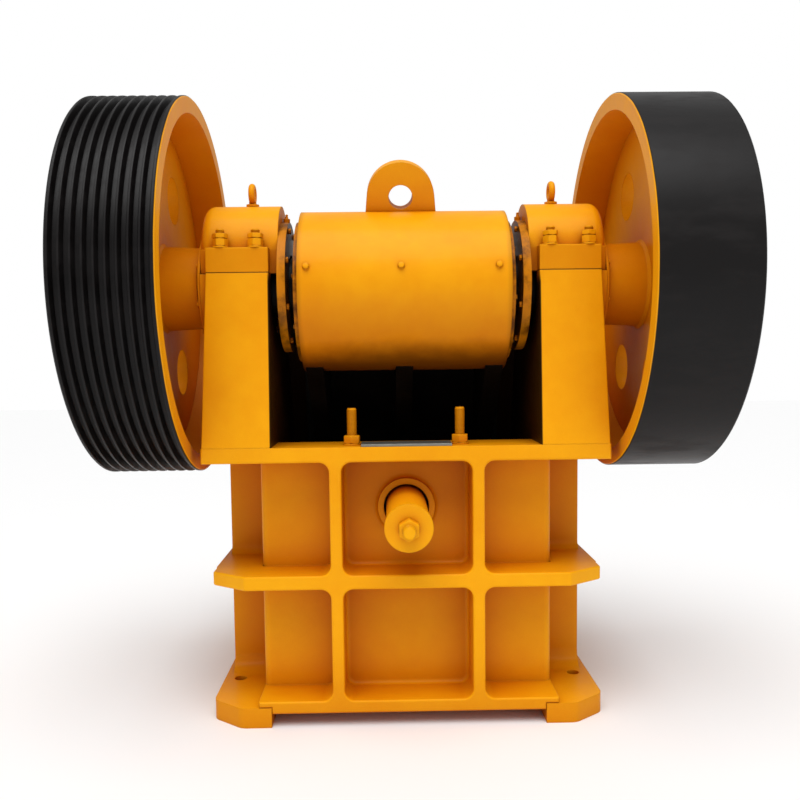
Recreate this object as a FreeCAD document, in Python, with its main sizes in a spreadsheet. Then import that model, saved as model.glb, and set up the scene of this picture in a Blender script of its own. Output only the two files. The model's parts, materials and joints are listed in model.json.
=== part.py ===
"""Jaw crusher with a single toggle: frame, rotor with two wheels, and swing jaw.

Millimetres. The origin is the centre of the foundation bolt rectangle, on the underside of the feet.
+X runs along the shaft from the grooved sheave to the plain flywheel, +Y from the discharge side of
the rear wall towards the fixed jaw, and +Z up. The crank throw points down in the stored pose.
"""
import FreeCAD, Part
import math
import os
import re

import Sketcher
from FreeCAD import Placement, Rotation, Vector

# name, value, meaning
DIMENSIONS = [
    ("frame_half_length", 376, "ribs and flanges of the rear and front wall end here, each way in Y"),
    ("panel_outer_y", 284, "outer face of the rear and front panel"),
    ("panel_inner_y", 254, "inner face of the rear and front panel"),
    ("wall_inner_x", 262, "inner face of a side wall"),
    ("wall_outer_x", 297, "outer face of a side wall"),
    ("rail_bottom", 27, "underside of the rail between the feet"),
    ("rail_top", 52, "top of that rail"),
    ("foot_inner_x", 272, "inner edge of a foot"),
    ("foot_outer_x", 394, "outer edge of a foot"),
    ("foot_top", 40, "thickness of a foot"),
    ("middle_flange_low", 275, "underside of the middle flange"),
    ("middle_flange_high", 303, "top of the middle flange"),
    ("middle_flange_x", 390, "half width of the middle flange"),
    ("corner_start_x", 320, "where a flange corner starts to turn back"),
    ("corner_depth", 52, "how far a flange corner turns back"),
    ("top_flange_low", 525, "underside of the upper flange"),
    ("top_flange_high", 555, "top of the upper flange and of the rear wall"),
    ("top_flange_x", 398, "half width of the upper flange"),
    ("rib_inner_x", 127, "inner face of an upright rib of the rear or front wall"),
    ("rib_outer_x", 151, "outer face of that rib"),
    ("bay_round", 20, "inner corners of the bays between ribs and flanges"),
    ("root_round", 9, "fillet where ribs and flanges meet a panel"),
    ("edge_round", 4, "outer edges of the castings"),
    ("panel_round", 14, "upright outer edges of the rear and front panels"),
    ("foot_rib_round", 38, "where the upright ribs of a side wall meet the foot"),
    ("foot_round", 28, "corners of the feet"),
    ("flange_round", 10, "corners of the middle flange"),
    ("side_rib_x", 380, "outer edge of an upright rib of a side wall"),
    ("side_rib_near", 132, "nearer face of a side wall's rib, from the middle"),
    ("side_rib_far", 156, "farther face of that rib"),
    ("front_top", 940, "top of the front wall and of the feed mouth"),
    ("front_lip_low", 905, "underside of the lip round the feed mouth"),
    ("bolt_hole_x", 360, "foundation bolt hole, from the middle"),
    ("bolt_hole_y", 206, "foundation bolt hole, from the middle"),
    ("bolt_hole_radius", 13, "foundation bolt hole"),
    ("post_outer_x", 397, "outer face of a bearing pedestal"),
    ("post_foot_half", 160, "half depth of a pedestal at the upper flange, front side"),
    ("post_top_half", 128, "half depth of a pedestal under the cap"),
    ("post_top", 893, "joint between pedestal and cap"),
    ("post_foot_x", 395, "outer side of a pedestal at the upper flange"),
    ("post_top_x", 382, "outer side of a pedestal and of a cap's ledge at their joint"),
    ("post_boss_radius", 112, "round boss of a pedestal under the bearing"),
    ("post_rib", 34, "thickness of a pedestal's ribs"),
    ("saddle_bottom", 752, "underside of the solid saddle under the bearing"),
    ("housing_radius", 92, "bearing seat in pedestal and cap"),
    ("cap_inner_x", 246, "inner end of a cap"),
    ("cap_ledge", 941, "top of a cap's bolting ledge"),
    ("cap_arch_half", 100, "half width of a cap's arch where it leaves the ledge"),
    ("cap_top", 1038, "crown of a cap"),
    ("cap_round", 20, "rounded outer edge of a cap"),
    ("cover_inner_x", 230, "inner face of a cap's inner cover"),
    ("cover_radius", 132, "radius of the inner cover"),
    ("cover_bore", 67, "bore of both covers, clear of the shaft"),
    ("outer_cover_x", 403, "outer face of a cap's outer cover"),
    ("outer_cover_radius", 106, "radius of the outer cover"),
    ("eyebolt_x", 307, "eyebolt on a cap, from the middle"),
    ("eyebolt_height", 1064, "centre of an eyebolt's ring"),
    ("eyebolt_ring", 15, "radius of an eyebolt's ring to the middle of its bar"),
    ("eyebolt_bar", 6.5, "radius of an eyebolt's bar"),
    ("shaft_y", -224, "shaft axis"),
    ("shaft_height", 873, "shaft axis"),
    ("crank_throw", 10, "offset of the eccentric journal"),
    ("journal_radius", 55, "main journal"),
    ("eccentric_radius", 70, "eccentric journal"),
    ("eccentric_end", 224, "half length of the eccentric journal"),
    ("collar_radius", 61, "collar between the journals"),
    ("collar_end", 266, "outer end of that collar"),
    ("wheel_seat_radius", 46, "shaft inside a wheel's hub"),
    ("wheel_seat_start", 404, "inner end of the wheel seat"),
    ("shaft_end", 578, "half length of the shaft"),
    ("running_gap", 0.05, "radial clearance of a shaft in its bearing"),
    ("wheel_radius", 375, "both wheels"),
    ("wheel_inner", 416, "inner side of a wheel's rim"),
    ("wheel_outer", 598, "outer side of a wheel's rim"),
    ("rim_thick", 32, "rim at its edge"),
    ("rim_root", 41, "rim where it meets the web"),
    ("web_inner", 490, "inner face of a wheel's web"),
    ("web_outer", 528, "outer face of a wheel's web"),
    ("web_fillet", 6, "slope between a web and its hub"),
    ("edge_chamfer", 3, "bevel on the edges of a rim"),
    ("hub_radius", 82, "hub of a wheel"),
    ("hub_inner", 409, "inner end of a hub"),
    ("hub_outer", 572, "outer end of a hub"),
    ("wheel_hole_radius", 50, "round holes in a web"),
    ("wheel_hole_circle", 213, "their distance from the shaft"),
    ("wheel_hole_angle", 66, "degrees from level to the first of them, at rest"),
    ("wheel_holes", 6, "their number"),
    ("belt_grooves", 9, "number of V belt grooves"),
    ("groove_pitch", 19, "distance between belt grooves"),
    ("groove_width", 15.6, "width of a belt groove at the rim"),
    ("groove_floor", 8, "width of a belt groove at its floor"),
    ("groove_depth", 12, "depth of a belt groove"),
    ("end_plate_radius", 62, "washer plate on each shaft end"),
    ("end_plate_thick", 9, "that plate"),
    ("barrel_radius", 162, "head of the swing jaw"),
    ("barrel_half", 205, "half length of the head"),
    ("barrel_core", 84, "bore of the head between its bearings"),
    ("jaw_bearing_seat", 116, "bore of the head for a bearing"),
    ("jaw_bearing_start", 108, "inner end of a bearing in the head"),
    ("jaw_bearing_end", 190, "outer end of a bearing in the head"),
    ("seal_end", 214, "outer face of the head's seal ring"),
    ("seal_radius", 142, "radius of the seal ring"),
    ("seal_bore", 77, "bore of the seal ring"),
    ("lug_x", -4, "middle of the lifting lug"),
    ("lug_base", 1000, "where the lug starts, inside the head's outline"),
    ("lug_half", 74, "half width of the lug at its base"),
    ("lug_round", 68, "radius of the lug's top"),
    ("lug_eye_rise", 59, "height of the lug's eye over its base"),
    ("lug_eye_radius", 24, "eye of the lug"),
    ("lug_thick", 40, "thickness of the lug"),
    ("lug_lean", 20, "degrees that the lug leans to the rear"),
    ("nip_angle", 22, "degrees between the jaw faces"),
    ("toe_y", 169, "lower end of the swing jaw's face"),
    ("toe_z", 430, "lower end of the swing jaw's face"),
    ("jaw_half", 200, "half width of the swing jaw"),
    ("plate_thick", 40, "swing jaw plate with its teeth"),
    ("plate_length", 545, "swing jaw plate"),
    ("tooth_rise", 13, "height of a tooth of either plate"),
    ("tooth_pitch", 50, "distance between teeth"),
    ("tooth_root", 44, "width of a tooth at its root"),
    ("tooth_crest", 14, "width of a tooth at its crest"),
    ("jaw_front_wall", 50, "thickness of the swing jaw behind its plate"),
    ("jaw_toe_depth", 150, "depth of the swing jaw's toe"),
    ("jaw_toe_height", 130, "height of the swing jaw's toe"),
    ("jaw_rib", 35, "thickness of the swing jaw's ribs"),
    ("fixed_face_y", 209, "crests of the fixed jaw plate"),
    ("fixed_bottom", 400, "bottom of the fixed jaw plate"),
    ("fixed_half", 211, "half width of the fixed jaw plate"),
    ("cheek_inner_x", 212, "inner face of a cheek plate"),
    ("cheek_back_x", 227, "back of a cheek plate, on the side wall's boss"),
    ("toggle_seat_y", -190, "front of the toggle block"),
    ("toggle_block_low", 474, "underside of the toggle block"),
    ("toggle_thick", 24, "toggle plate"),
    ("toggle_rear_z", 505, "rear end of the toggle plate"),
    ("toggle_front_z", 469, "front end of the toggle plate"),
    ("toggle_front_y", -42, "front end of the toggle plate"),
    ("toggle_half", 170, "half width of the toggle plate"),
    ("stud_x", 107, "adjusting stud, from the middle"),
    ("stud_y", -328, "adjusting stud"),
    ("stud_radius", 10, "adjusting stud"),
    ("stud_top", 628, "top of an adjusting stud"),
    ("nut_flats", 30, "across the flats of an adjusting stud's nut"),
    ("nut_thick", 17, "that nut"),
    ("rod_height", 425, "tension rod where it passes the rear panel"),
    ("rod_tilt", 2.5, "degrees that the rod falls towards the rear"),
    ("rod_radius", 12, "tension rod"),
    ("rod_front", 205, "rod inside the frame, from the panel's outer face"),
    ("rod_rear", 246, "rod outside the frame, from the panel's outer face"),
    ("tube_radius", 41, "spring tube round the rod"),
    ("tube_bore", 34, "inside of the spring tube"),
    ("tube_rear", 192, "end of the spring tube, from the panel's outer face"),
    ("ring_radius", 58, "ring on the rear panel round the tube"),
    ("ring_bore", 46, "hole in the rear panel for the tube"),
    ("ring_rise", 16, "how far the ring stands out"),
    ("washer_radius", 45, "washer that closes the spring tube"),
    ("washer_thick", 12, "that washer"),
    ("rod_nut_flats", 36, "across the flats of the rod's nut"),
    ("rod_nut_thick", 20, "that nut"),
]

doc = FreeCAD.newDocument("jaw_crusher")
sheet = doc.addObject("Spreadsheet::Sheet", "dims")
for row, (alias, size, meaning) in enumerate(DIMENSIONS, start=1):
    sheet.set(f"A{row}", alias)
    sheet.set(f"B{row}", str(size))
    sheet.setAlias(f"B{row}", alias)
    sheet.set(f"C{row}", meaning)
doc.recompute()

ALIASES = {alias for alias, _, _ in DIMENSIONS}
nodes = []


def formula(text):
    """Turn words of the sheet into references to its cells."""
    return re.sub(r"[a-z_]+", lambda word: f"dims.{word[0]}" if word[0] in ALIASES else word[0], str(text))


def value(text):
    """The number that a formula gives now."""
    result = sheet.evalExpression(formula(text))
    return float(getattr(result, "Value", result))


def bind(item, **formulas):
    for path, text in formulas.items():
        item.setExpression(path.replace("__", "."), formula(text))


def place(item, x="0", y="0", z="0"):
    bind(item, Placement__Base__x=x, Placement__Base__y=y, Placement__Base__z=z)
    return item


def box(name, x, y, z):
    """A block between two formulas on each axis."""
    block = doc.addObject("Part::Box", name)
    bind(block, Length=f"({x[1]}) - ({x[0]})", Width=f"({y[1]}) - ({y[0]})", Height=f"({z[1]}) - ({z[0]})")
    return place(block, x[0], y[0], z[0])


TURN = {"x": Rotation(Vector(0, 1, 0), 90), "y": Rotation(Vector(1, 0, 0), -90), "z": Rotation()}


def rod(name, axis, radius, span, centre):
    """A round bar along an axis; centre gives its two other coordinates in X, Y, Z order."""
    bar = doc.addObject("Part::Cylinder", name)
    bind(bar, Radius=radius, Height=f"({span[1]}) - ({span[0]})")
    bar.Placement = Placement(Vector(), TURN[axis])
    base = list(centre)
    base.insert("xyz".index(axis), span[0])
    return place(bar, *base)


def hexagon(name, axis, flats, span, centre):
    """A hexagon bar along an axis, from its size across flats."""
    bar = doc.addObject("Part::Prism", name)
    bar.Polygon = 6
    bind(bar, Circumradius=f"({flats}) / sqrt(3)", Height=f"({span[1]}) - ({span[0]})")
    bar.Placement = Placement(Vector(), TURN[axis])
    base = list(centre)
    base.insert("xyz".index(axis), span[0])
    return place(bar, *base)


def fuse(name, *items):
    whole = doc.addObject("Part::MultiFuse", name)
    whole.Shapes = list(items)
    whole.Refine = True
    return whole


def cut(name, base, *tools):
    remainder = doc.addObject("Part::Cut", name)
    remainder.Base = base
    remainder.Tool = tools[0] if len(tools) == 1 else group(f"{name}_tools", *tools)
    remainder.Refine = True
    return remainder


def group(name, *items):
    """Like pieces of one sub-part, which don't touch each other."""
    compound = doc.addObject("Part::Compound", name)
    compound.Links = list(items)
    return compound


def mirrored(name, source, normal=Vector(1, 0, 0)):
    image = doc.addObject("Part::Mirroring", name)
    image.Source = source
    image.Normal = normal
    return image


def node(item, label):
    """Keep an object as a sub-part under its own name."""
    item.Label = label
    nodes.append(item)
    return item


def origin_feature(body, role):
    return next(item for item in body.Origin.OriginFeatures if item.Role == role)


def constrain(sketch, line, point, axis, text):
    """Hold one end of a line at a formula's distance from the sketch's origin."""
    distance = value(text)
    if abs(distance) < 1e-9:
        sketch.addConstraint(Sketcher.Constraint("PointOnObject", line, point, -2 if axis == "X" else -1))
        return
    number = sketch.addConstraint(Sketcher.Constraint(f"Distance{axis}", -1, 1, line, point, distance))
    sketch.setExpression(f"Constraints[{number}]", formula(text))


def outline_sketch(body, name, plane, outline, offset="0"):
    """A closed outline of straight lines, each corner held by two formulas."""
    sketch = body.newObject("Sketcher::SketchObject", name)
    sketch.AttachmentSupport = (origin_feature(body, plane), [""])
    sketch.MapMode = "FlatFace"
    sketch.setExpression("AttachmentOffset.Base.z", formula(offset))
    corners = [Vector(value(across), value(up), 0) for across, up in outline]
    for number, corner in enumerate(corners):
        sketch.addGeometry(Part.LineSegment(corner, corners[(number + 1) % len(corners)]), False)
    for number in range(len(corners)):
        following = (number + 1) % len(corners)
        sketch.addConstraint(Sketcher.Constraint("Coincident", number, 2, following, 1))
    for number, (across, up) in enumerate(outline):
        constrain(sketch, number, 1, "X", across)
        constrain(sketch, number, 1, "Y", up)
    return sketch


def circle_sketch(body, name, plane, centre, radius):
    sketch = body.newObject("Sketcher::SketchObject", name)
    sketch.AttachmentSupport = (origin_feature(body, plane), [""])
    sketch.MapMode = "FlatFace"
    middle = Vector(value(centre[0]), value(centre[1]), 0)
    sketch.addGeometry(Part.Circle(middle, Vector(0, 0, 1), value(radius)), False)
    constrain(sketch, 0, 3, "X", centre[0])
    constrain(sketch, 0, 3, "Y", centre[1])
    number = sketch.addConstraint(Sketcher.Constraint("Radius", 0, value(radius)))
    sketch.setExpression(f"Constraints[{number}]", formula(radius))
    return sketch


def new_body(name):
    return doc.addObject("PartDesign::Body", name)


def pad(body, name, sketch, length, backwards=False):
    feature = body.newObject("PartDesign::Pad", name)
    feature.Profile = sketch
    bind(feature, Length=length)
    feature.Reversed = backwards
    return feature


def plate(name, plane, outline, low, high):
    """A flat piece: an outline padded from one formula to another along the plane's own axis."""
    body = new_body(name)
    backwards = plane == "XZ_Plane"
    offset = f"-({low})" if backwards else low
    sketch = outline_sketch(body, f"{name}_outline", plane, outline, offset)
    pad(body, f"{name}_pad", sketch, f"({high}) - ({low})", backwards)
    return body


def turned(name, profile, y, z):
    """A solid of revolution about an axis along X; the profile gives X and radius."""
    body = new_body(name)
    revolution = body.newObject("PartDesign::Revolution", f"{name}_turn")
    sketch = outline_sketch(body, f"{name}_profile", "XY_Plane", profile)
    revolution.Profile = sketch
    revolution.ReferenceAxis = (sketch, ["H_Axis"])
    revolution.Angle = 360
    body.Tip = revolution
    place(body, "0", y, z)
    return body


def ring(name, outer, bore, span, y="shaft_y", z="shaft_height"):
    return turned(name, [(span[0], bore), (span[1], bore), (span[1], outer), (span[0], outer)], y, z)


def both_sides(name, inner, outer):
    """X spans of a piece on the +X side and of its twin on the -X side."""
    return [(f"{name}_right", (inner, outer)), (f"{name}_left", (f"-({outer})", f"-({inner})"))]


def flange_outline(half_width):
    """Plan of a wall flange whose two outer corners turn back, for the rear wall."""
    return [
        (f"-{half_width}", "-panel_outer_y"),
        (f"-{half_width}", "corner_depth - frame_half_length"),
        ("-corner_start_x", "-frame_half_length"),
        ("corner_start_x", "-frame_half_length"),
        (half_width, "corner_depth - frame_half_length"),
        (half_width, "-panel_outer_y"),
    ]


def wall_ribs(name, top):
    return [
        box(f"{name}_{side}", span, ("-frame_half_length", "-panel_outer_y"), ("rail_bottom", top))
        for side, span in both_sides("rib", "rib_inner_x", "rib_outer_x")
    ]


def box_of(edge):
    """Lowest and highest coordinates of an edge, in X, Y, Z order."""
    extent = edge.BoundBox
    return (extent.XMin, extent.YMin, extent.ZMin), (extent.XMax, extent.YMax, extent.ZMax)


def corner_along(axis, first, second):
    """A test for straight edges along one axis that stand at the given places on the other two."""
    others = [index for index in range(3) if index != axis]

    def wanted(edge):
        low, high = box_of(edge)
        if high[axis] - low[axis] < 1 or any(high[index] - low[index] > 1e-3 for index in others):
            return False
        return all(min(abs(low[index] - spot) for spot in spots) < 1e-3
                   for index, spots in zip(others, (first, second)))
    return wanted


def edges_in_plane(axis, level, low_limit, high_limit):
    """A test for edges that lie in a plane across one axis, with their middle inside a region."""
    def wanted(edge):
        low, high = box_of(edge)
        middle = [(one + other) / 2 for one, other in zip(low, high)]
        return (abs(low[axis] - level) < 1e-3 and abs(high[axis] - level) < 1e-3
                and all(one <= at <= other for one, at, other in zip(low_limit, middle, high_limit)))
    return wanted


def rounded(name, item, *rules):
    """Round the edges of a finished solid; each rule holds a radius and a test that picks edges."""
    for step, (radius, wanted) in enumerate(rules):
        doc.recompute()
        fillet = doc.addObject("Part::Fillet", f"{name}_{step}")
        fillet.Base = item
        fillet.Edges = [(number, value(radius), value(radius))
                        for number, edge in enumerate(item.Shape.Edges, start=1) if wanted(edge)]
        item = fillet
    return item


def rounded_panel(name, panel, face_y):
    """A panel with its upright outer edges rounded."""
    sides = [-value("wall_outer_x"), value("wall_outer_x")]
    return rounded(f"{name}_round", panel, ("panel_round", corner_along(2, sides, [value(face_y)])))


def wall_rounding(face_y):
    """Rules that round the bays of a rear or front wall whose panel's outer face is at face_y."""
    uprights = [sign * value(x) for sign in (1, -1) for x in ("rib_inner_x", "rib_outer_x")]
    levels = [value(z) for z in ("rail_top", "middle_flange_low", "middle_flange_high", "top_flange_low")]
    inside = value("rib_inner_x") + 1
    region = (-inside, -1e4, value("rail_top") - 1), (inside, 1e4, value("top_flange_low") + 1)
    corners = [sign * value(x) for sign in (1, -1) for x in ("corner_start_x", "middle_flange_x")]
    ends = [sign * value(y) for sign in (1, -1)
            for y in ("frame_half_length", "frame_half_length - corner_depth")]
    return [("flange_round", corner_along(2, corners, ends)),
            ("bay_round", corner_along(1, uprights, levels)),
            ("root_round", edges_in_plane(1, value(face_y), *region))]


def rear_wall():
    """Ribbed rear casting with the hole for the tension rod's spring tube."""
    reach = ("-frame_half_length", "-panel_outer_y")
    panel = rounded_panel("rear_panel", box("rear_panel", ("-wall_outer_x", "wall_outer_x"),
                                            ("-panel_outer_y", "-panel_inner_y"),
                                            ("foot_top", "top_flange_high")),
                          "-panel_outer_y")
    rail = box("rear_rail", ("-foot_inner_x", "foot_inner_x"), ("-frame_half_length", "-panel_inner_y"),
               ("rail_bottom", "rail_top"))
    rail_end = box("rear_rail_end", ("-wall_outer_x", "wall_outer_x"),
                   ("-frame_half_length", "-panel_inner_y"),
                   ("foot_top", "rail_top"))
    middle = plate("rear_middle_flange", "XY_Plane", flange_outline("middle_flange_x"),
                   "middle_flange_low", "middle_flange_high")
    top = box("rear_top_flange", ("-top_flange_x", "top_flange_x"), reach,
              ("top_flange_low", "top_flange_high"))
    boss = rod("tube_ring", "y", "ring_radius", ("-panel_outer_y - ring_rise", "-panel_inner_y"),
               ("0", "rod_height"))
    hole = rod("tube_hole", "y", "ring_bore", ("-panel_outer_y - 2 * ring_rise", "-panel_inner_y + 1"),
               ("0", "rod_height"))
    solid = fuse("rear_wall_solid", panel, rail, rail_end, middle, top, boss,
                 *wall_ribs("rear_rib", "top_flange_high"))
    wall = cut("rear_wall_cut", solid, hole)
    rim = edges_in_plane(1, value("-frame_half_length"), (-1e4, -1e4, -1e4),
                         (1e4, 1e4, value("top_flange_high") - 1))
    node(rounded("rear_wall_round", wall, *wall_rounding("-panel_outer_y"), ("edge_round", rim)), "rear_wall")


def front_wall():
    """Ribbed front casting behind the fixed jaw, up to the lip of the feed mouth."""
    panel = rounded_panel("front_panel", box("front_panel", ("-wall_outer_x", "wall_outer_x"),
                                             ("panel_inner_y", "panel_outer_y"), ("foot_top", "front_top")),
                          "panel_outer_y")
    rail = box("front_rail", ("-foot_inner_x", "foot_inner_x"), ("panel_inner_y", "frame_half_length"),
               ("rail_bottom", "rail_top"))
    rail_end = box("front_rail_end", ("-wall_outer_x", "wall_outer_x"),
                   ("panel_inner_y", "frame_half_length"),
                   ("foot_top", "rail_top"))
    middle = mirrored("front_middle_flange",
                      plate("front_middle_source", "XY_Plane", flange_outline("middle_flange_x"),
                            "middle_flange_low", "middle_flange_high"), Vector(0, 1, 0))
    top = mirrored("front_top_flange",
                   plate("front_top_source", "XY_Plane", flange_outline("top_flange_x"),
                         "top_flange_low", "top_flange_high"), Vector(0, 1, 0))
    ribs = [mirrored(f"front_{item.Name}", item, Vector(0, 1, 0))
            for item in wall_ribs("front_rib", "front_lip_low")]
    lip = box("front_lip", ("-wall_outer_x", "wall_outer_x"), ("panel_outer_y", "panel_outer_y + 46"),
              ("front_lip_low", "front_top"))
    ledge = box("fixed_jaw_ledge", ("-fixed_half", "fixed_half"), ("panel_inner_y - 26", "panel_inner_y"),
                ("fixed_bottom - 24", "fixed_bottom"))
    wall = fuse("front_wall_solid", panel, rail, rail_end, middle, top, lip, ledge, *ribs)
    node(rounded("front_wall_round", wall, *wall_rounding("panel_outer_y")), "front_wall")


def side_wall():
    """Side casting: plate, foot, flanges, upright ribs and the boss behind the cheek plate."""
    wall = plate("side_plate", "YZ_Plane", [
        ("-panel_inner_y", "0"), ("panel_inner_y", "0"), ("panel_inner_y", "front_top"), ("0", "front_top"),
        ("shaft_y + post_top_half", "post_top"), ("shaft_y + post_foot_half", "top_flange_high"),
        ("-panel_inner_y", "top_flange_high")], "wall_inner_x", "wall_outer_x")
    foot = plate("foot", "XY_Plane", [
        ("foot_inner_x", "-frame_half_length"), ("corner_start_x + 12", "-frame_half_length"),
        ("foot_outer_x", "corner_depth - frame_half_length"),
        ("foot_outer_x", "frame_half_length - corner_depth"),
        ("corner_start_x + 12", "frame_half_length"), ("foot_inner_x", "frame_half_length")], "0", "foot_top")
    reach = ("-panel_outer_y", "panel_outer_y")
    middle = box("side_middle_flange", ("wall_outer_x", "middle_flange_x"), reach,
                 ("middle_flange_low", "middle_flange_high"))
    top = box("side_top_flange", ("wall_outer_x", "top_flange_x"), reach,
              ("top_flange_low", "top_flange_high"))
    lip = box("side_lip", ("wall_outer_x", "wall_outer_x + 46"),
              ("panel_inner_y - 190", "panel_outer_y + 46"),
              ("front_lip_low", "front_top"))
    ribs = []
    for name, low, high in (("rear", "-side_rib_far", "-side_rib_near"), ("front", "side_rib_near",
            "side_rib_far")):
        ribs.append(box(f"side_rib_{name}", ("wall_outer_x", "side_rib_x"), (low, high),
                        ("foot_top", "top_flange_low")))
    upper_rib = box("side_rib_upper", ("wall_outer_x", "wall_outer_x + 46"),
                    ("side_rib_near", "side_rib_far"),
                    ("top_flange_high", "front_lip_low"))
    cheek_boss = plate("cheek_boss", "YZ_Plane", [
        ("panel_inner_y", "fixed_bottom"), ("panel_inner_y", "front_top"), ("0", "front_top"),
        ("-60", "front_top - 60"), ("90", "fixed_bottom")], "cheek_back_x", "wall_inner_x")
    holes = [
        rod(f"bolt_hole_{name}", "z", "bolt_hole_radius", ("-1", "foot_top + 1"), ("bolt_hole_x", y))
        for name, y in (("rear", "-bolt_hole_y"), ("front", "bolt_hole_y"))
    ]
    solid = fuse("side_wall_solid", wall, foot, middle, top, lip, upper_rib, cheek_boss, *ribs)
    uprights = [sign * value(y) for sign in (1, -1) for y in ("side_rib_near", "side_rib_far")]
    levels = [value(z) for z in ("middle_flange_low", "middle_flange_high", "top_flange_low")]
    corners = [value("corner_start_x + 12"), value("foot_outer_x")]
    ends = [sign * value(y) for sign in (1, -1)
            for y in ("frame_half_length", "frame_half_length - corner_depth")]
    casting = rounded("side_wall_right", cut("side_wall_cut", solid, *holes),
                      ("foot_round", corner_along(2, corners, ends)),
                      ("foot_rib_round", corner_along(0, uprights, [value("foot_top")])),
                      ("bay_round", corner_along(0, uprights, levels)))
    right = node(casting, "right_side_wall")
    node(mirrored("side_wall_left", right), "left_side_wall")


def bearing_pedestal():
    """Post under a main bearing: a saddle on ribs, open on its outer side."""
    front_foot, front_top = "shaft_y + post_foot_half", "shaft_y + post_top_half"
    block = plate("post_block", "YZ_Plane", [
        ("-frame_half_length", "top_flange_high"), (front_foot, "top_flange_high"), (front_top, "post_top"),
        ("shaft_y - post_top_half", "post_top")], "wall_inner_x", "post_outer_x")
    pockets = []
    for name, low, high in (
            ("rear", "-frame_half_length + post_rib", "shaft_y - post_rib / 2"),
            ("front", "shaft_y + post_rib / 2", "shaft_y + post_top_half - post_rib")):
        pockets.append(box(f"post_pocket_{name}", ("wall_outer_x", "post_outer_x + 1"), (low, high),
                           ("top_flange_high + 1", "saddle_bottom")))
    rear_limit = plate("post_rear_limit", "YZ_Plane", [
        ("-frame_half_length + post_rib", "top_flange_high - 1"),
        ("shaft_y - post_top_half + post_rib", "post_top"), ("shaft_y", "post_top"),
        ("shaft_y", "top_flange_high - 1")], "wall_outer_x - 1", "post_outer_x + 2")
    trimmed = doc.addObject("Part::MultiCommon", "post_rear_pocket")
    trimmed.Shapes = [pockets[0], rear_limit]
    seat = rod("bearing_seat", "x", "housing_radius", ("wall_inner_x - 1", "post_outer_x + 1"),
               ("shaft_y", "shaft_height"))
    throat = box("bearing_throat", ("wall_inner_x - 1", "post_outer_x + 1"),
                 ("shaft_y - housing_radius", "shaft_y + housing_radius"), ("shaft_height", "post_top + 1"))
    lean = plate("post_lean", "XZ_Plane", [
        ("post_foot_x", "top_flange_high"), ("post_outer_x + 9", "top_flange_high - 1"),
        ("post_outer_x + 9", "post_top + 1"), ("post_top_x", "post_top")],
        "-frame_half_length - 1", "0")
    boss = cut("post_boss", rod("post_boss_round", "x", "post_boss_radius", ("wall_inner_x", "post_outer_x"),
                                ("shaft_y", "shaft_height")),
               box("post_boss_above", ("0", "2 * post_outer_x"),
                   ("shaft_y - wheel_radius", "shaft_y + wheel_radius"),
                   ("post_top", "2 * post_top")))
    post = fuse("post_solid", cut("post_block_cut", block, trimmed, pockets[1], lean), boss)
    right = node(cut("post_right", post, seat, throat), "right_bearing_pedestal")
    node(mirrored("post_left", right), "left_bearing_pedestal")


def bearing_cap():
    """Upper half of a bearing housing: two bolting ledges and an arch with a rounded outer edge."""
    rise = "(cap_top - cap_ledge)"
    arch_radius = f"(pow(cap_arch_half; 2) + pow({rise}; 2)) / (2 * {rise})"
    ledge = box("cap_ledge_block", ("wall_inner_x", "post_top_x"),
                ("shaft_y - post_top_half", "shaft_y + post_top_half"), ("post_top", "cap_ledge"))
    barrel = rod("cap_barrel", "x", arch_radius, ("cap_inner_x", "post_outer_x + 1"),
                 ("shaft_y", f"cap_top - {arch_radius}"))
    doc.recompute()
    outer_end = value("post_outer_x + 1")
    arch = doc.addObject("Part::Fillet", "cap_arch")
    arch.Base = barrel
    arch.Edges = [(number, value("cap_round"), value("cap_round"))
                  for number, edge in enumerate(barrel.Shape.Edges, start=1)
                  if edge.BoundBox.XMin > outer_end - 1]
    neck = box("cap_neck", ("cap_inner_x", "post_outer_x"),
               ("shaft_y - cap_arch_half", "shaft_y + cap_arch_half"), ("post_top", "cap_ledge"))
    below = box("cap_below", ("0", "2 * post_outer_x"), ("shaft_y - wheel_radius", "shaft_y + wheel_radius"),
                ("0", "post_top"))
    bore = rod("cap_bore", "x", "housing_radius", ("cap_inner_x - 1", "post_outer_x + 2"),
               ("shaft_y", "shaft_height"))
    right = node(cut("cap_right", fuse("cap_solid", ledge, arch, neck), below, bore), "right_bearing_cap")
    node(mirrored("cap_left", right), "left_bearing_cap")


def bearing_details():
    """Covers, sealed roller bearings and eyebolts of the two housings."""
    covers = [ring(name, "cover_radius", "cover_bore", span)
              for name, span in both_sides("inner_cover", "cover_inner_x", "cap_inner_x")]
    node(group("inner_covers", *covers), "inner_bearing_covers")
    covers = [ring(name, "outer_cover_radius", "cover_bore", span)
              for name, span in both_sides("outer_cover", "post_outer_x + 1", "outer_cover_x")]
    node(group("outer_covers", *covers), "outer_bearing_covers")
    bearings = [ring(name, "housing_radius", "journal_radius + running_gap", span)
                for name, span in both_sides("main_bearing", "collar_end + 4", "post_outer_x - 8")]
    node(group("bearings", *bearings), "main_bearings")
    eyebolts = []
    for side, x in (("right", "eyebolt_x"), ("left", "-eyebolt_x")):
        loop = doc.addObject("Part::Torus", f"eyebolt_loop_{side}")
        bind(loop, Radius1="eyebolt_ring", Radius2="eyebolt_bar")
        loop.Placement = Placement(Vector(), TURN["x"])
        place(loop, x, "shaft_y", "eyebolt_height")
        shank = rod(f"eyebolt_shank_{side}", "z", "eyebolt_bar + 1",
                    ("cap_top", "eyebolt_height - eyebolt_ring"), (x, "shaft_y"))
        collar = rod(f"eyebolt_collar_{side}", "z", "2 * eyebolt_bar", ("cap_top", "cap_top + 5"), (x,
                "shaft_y"))
        eyebolts.append(fuse(f"eyebolt_{side}", loop, shank, collar))
    node(group("eyebolts", *eyebolts), "cap_eyebolts")


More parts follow.
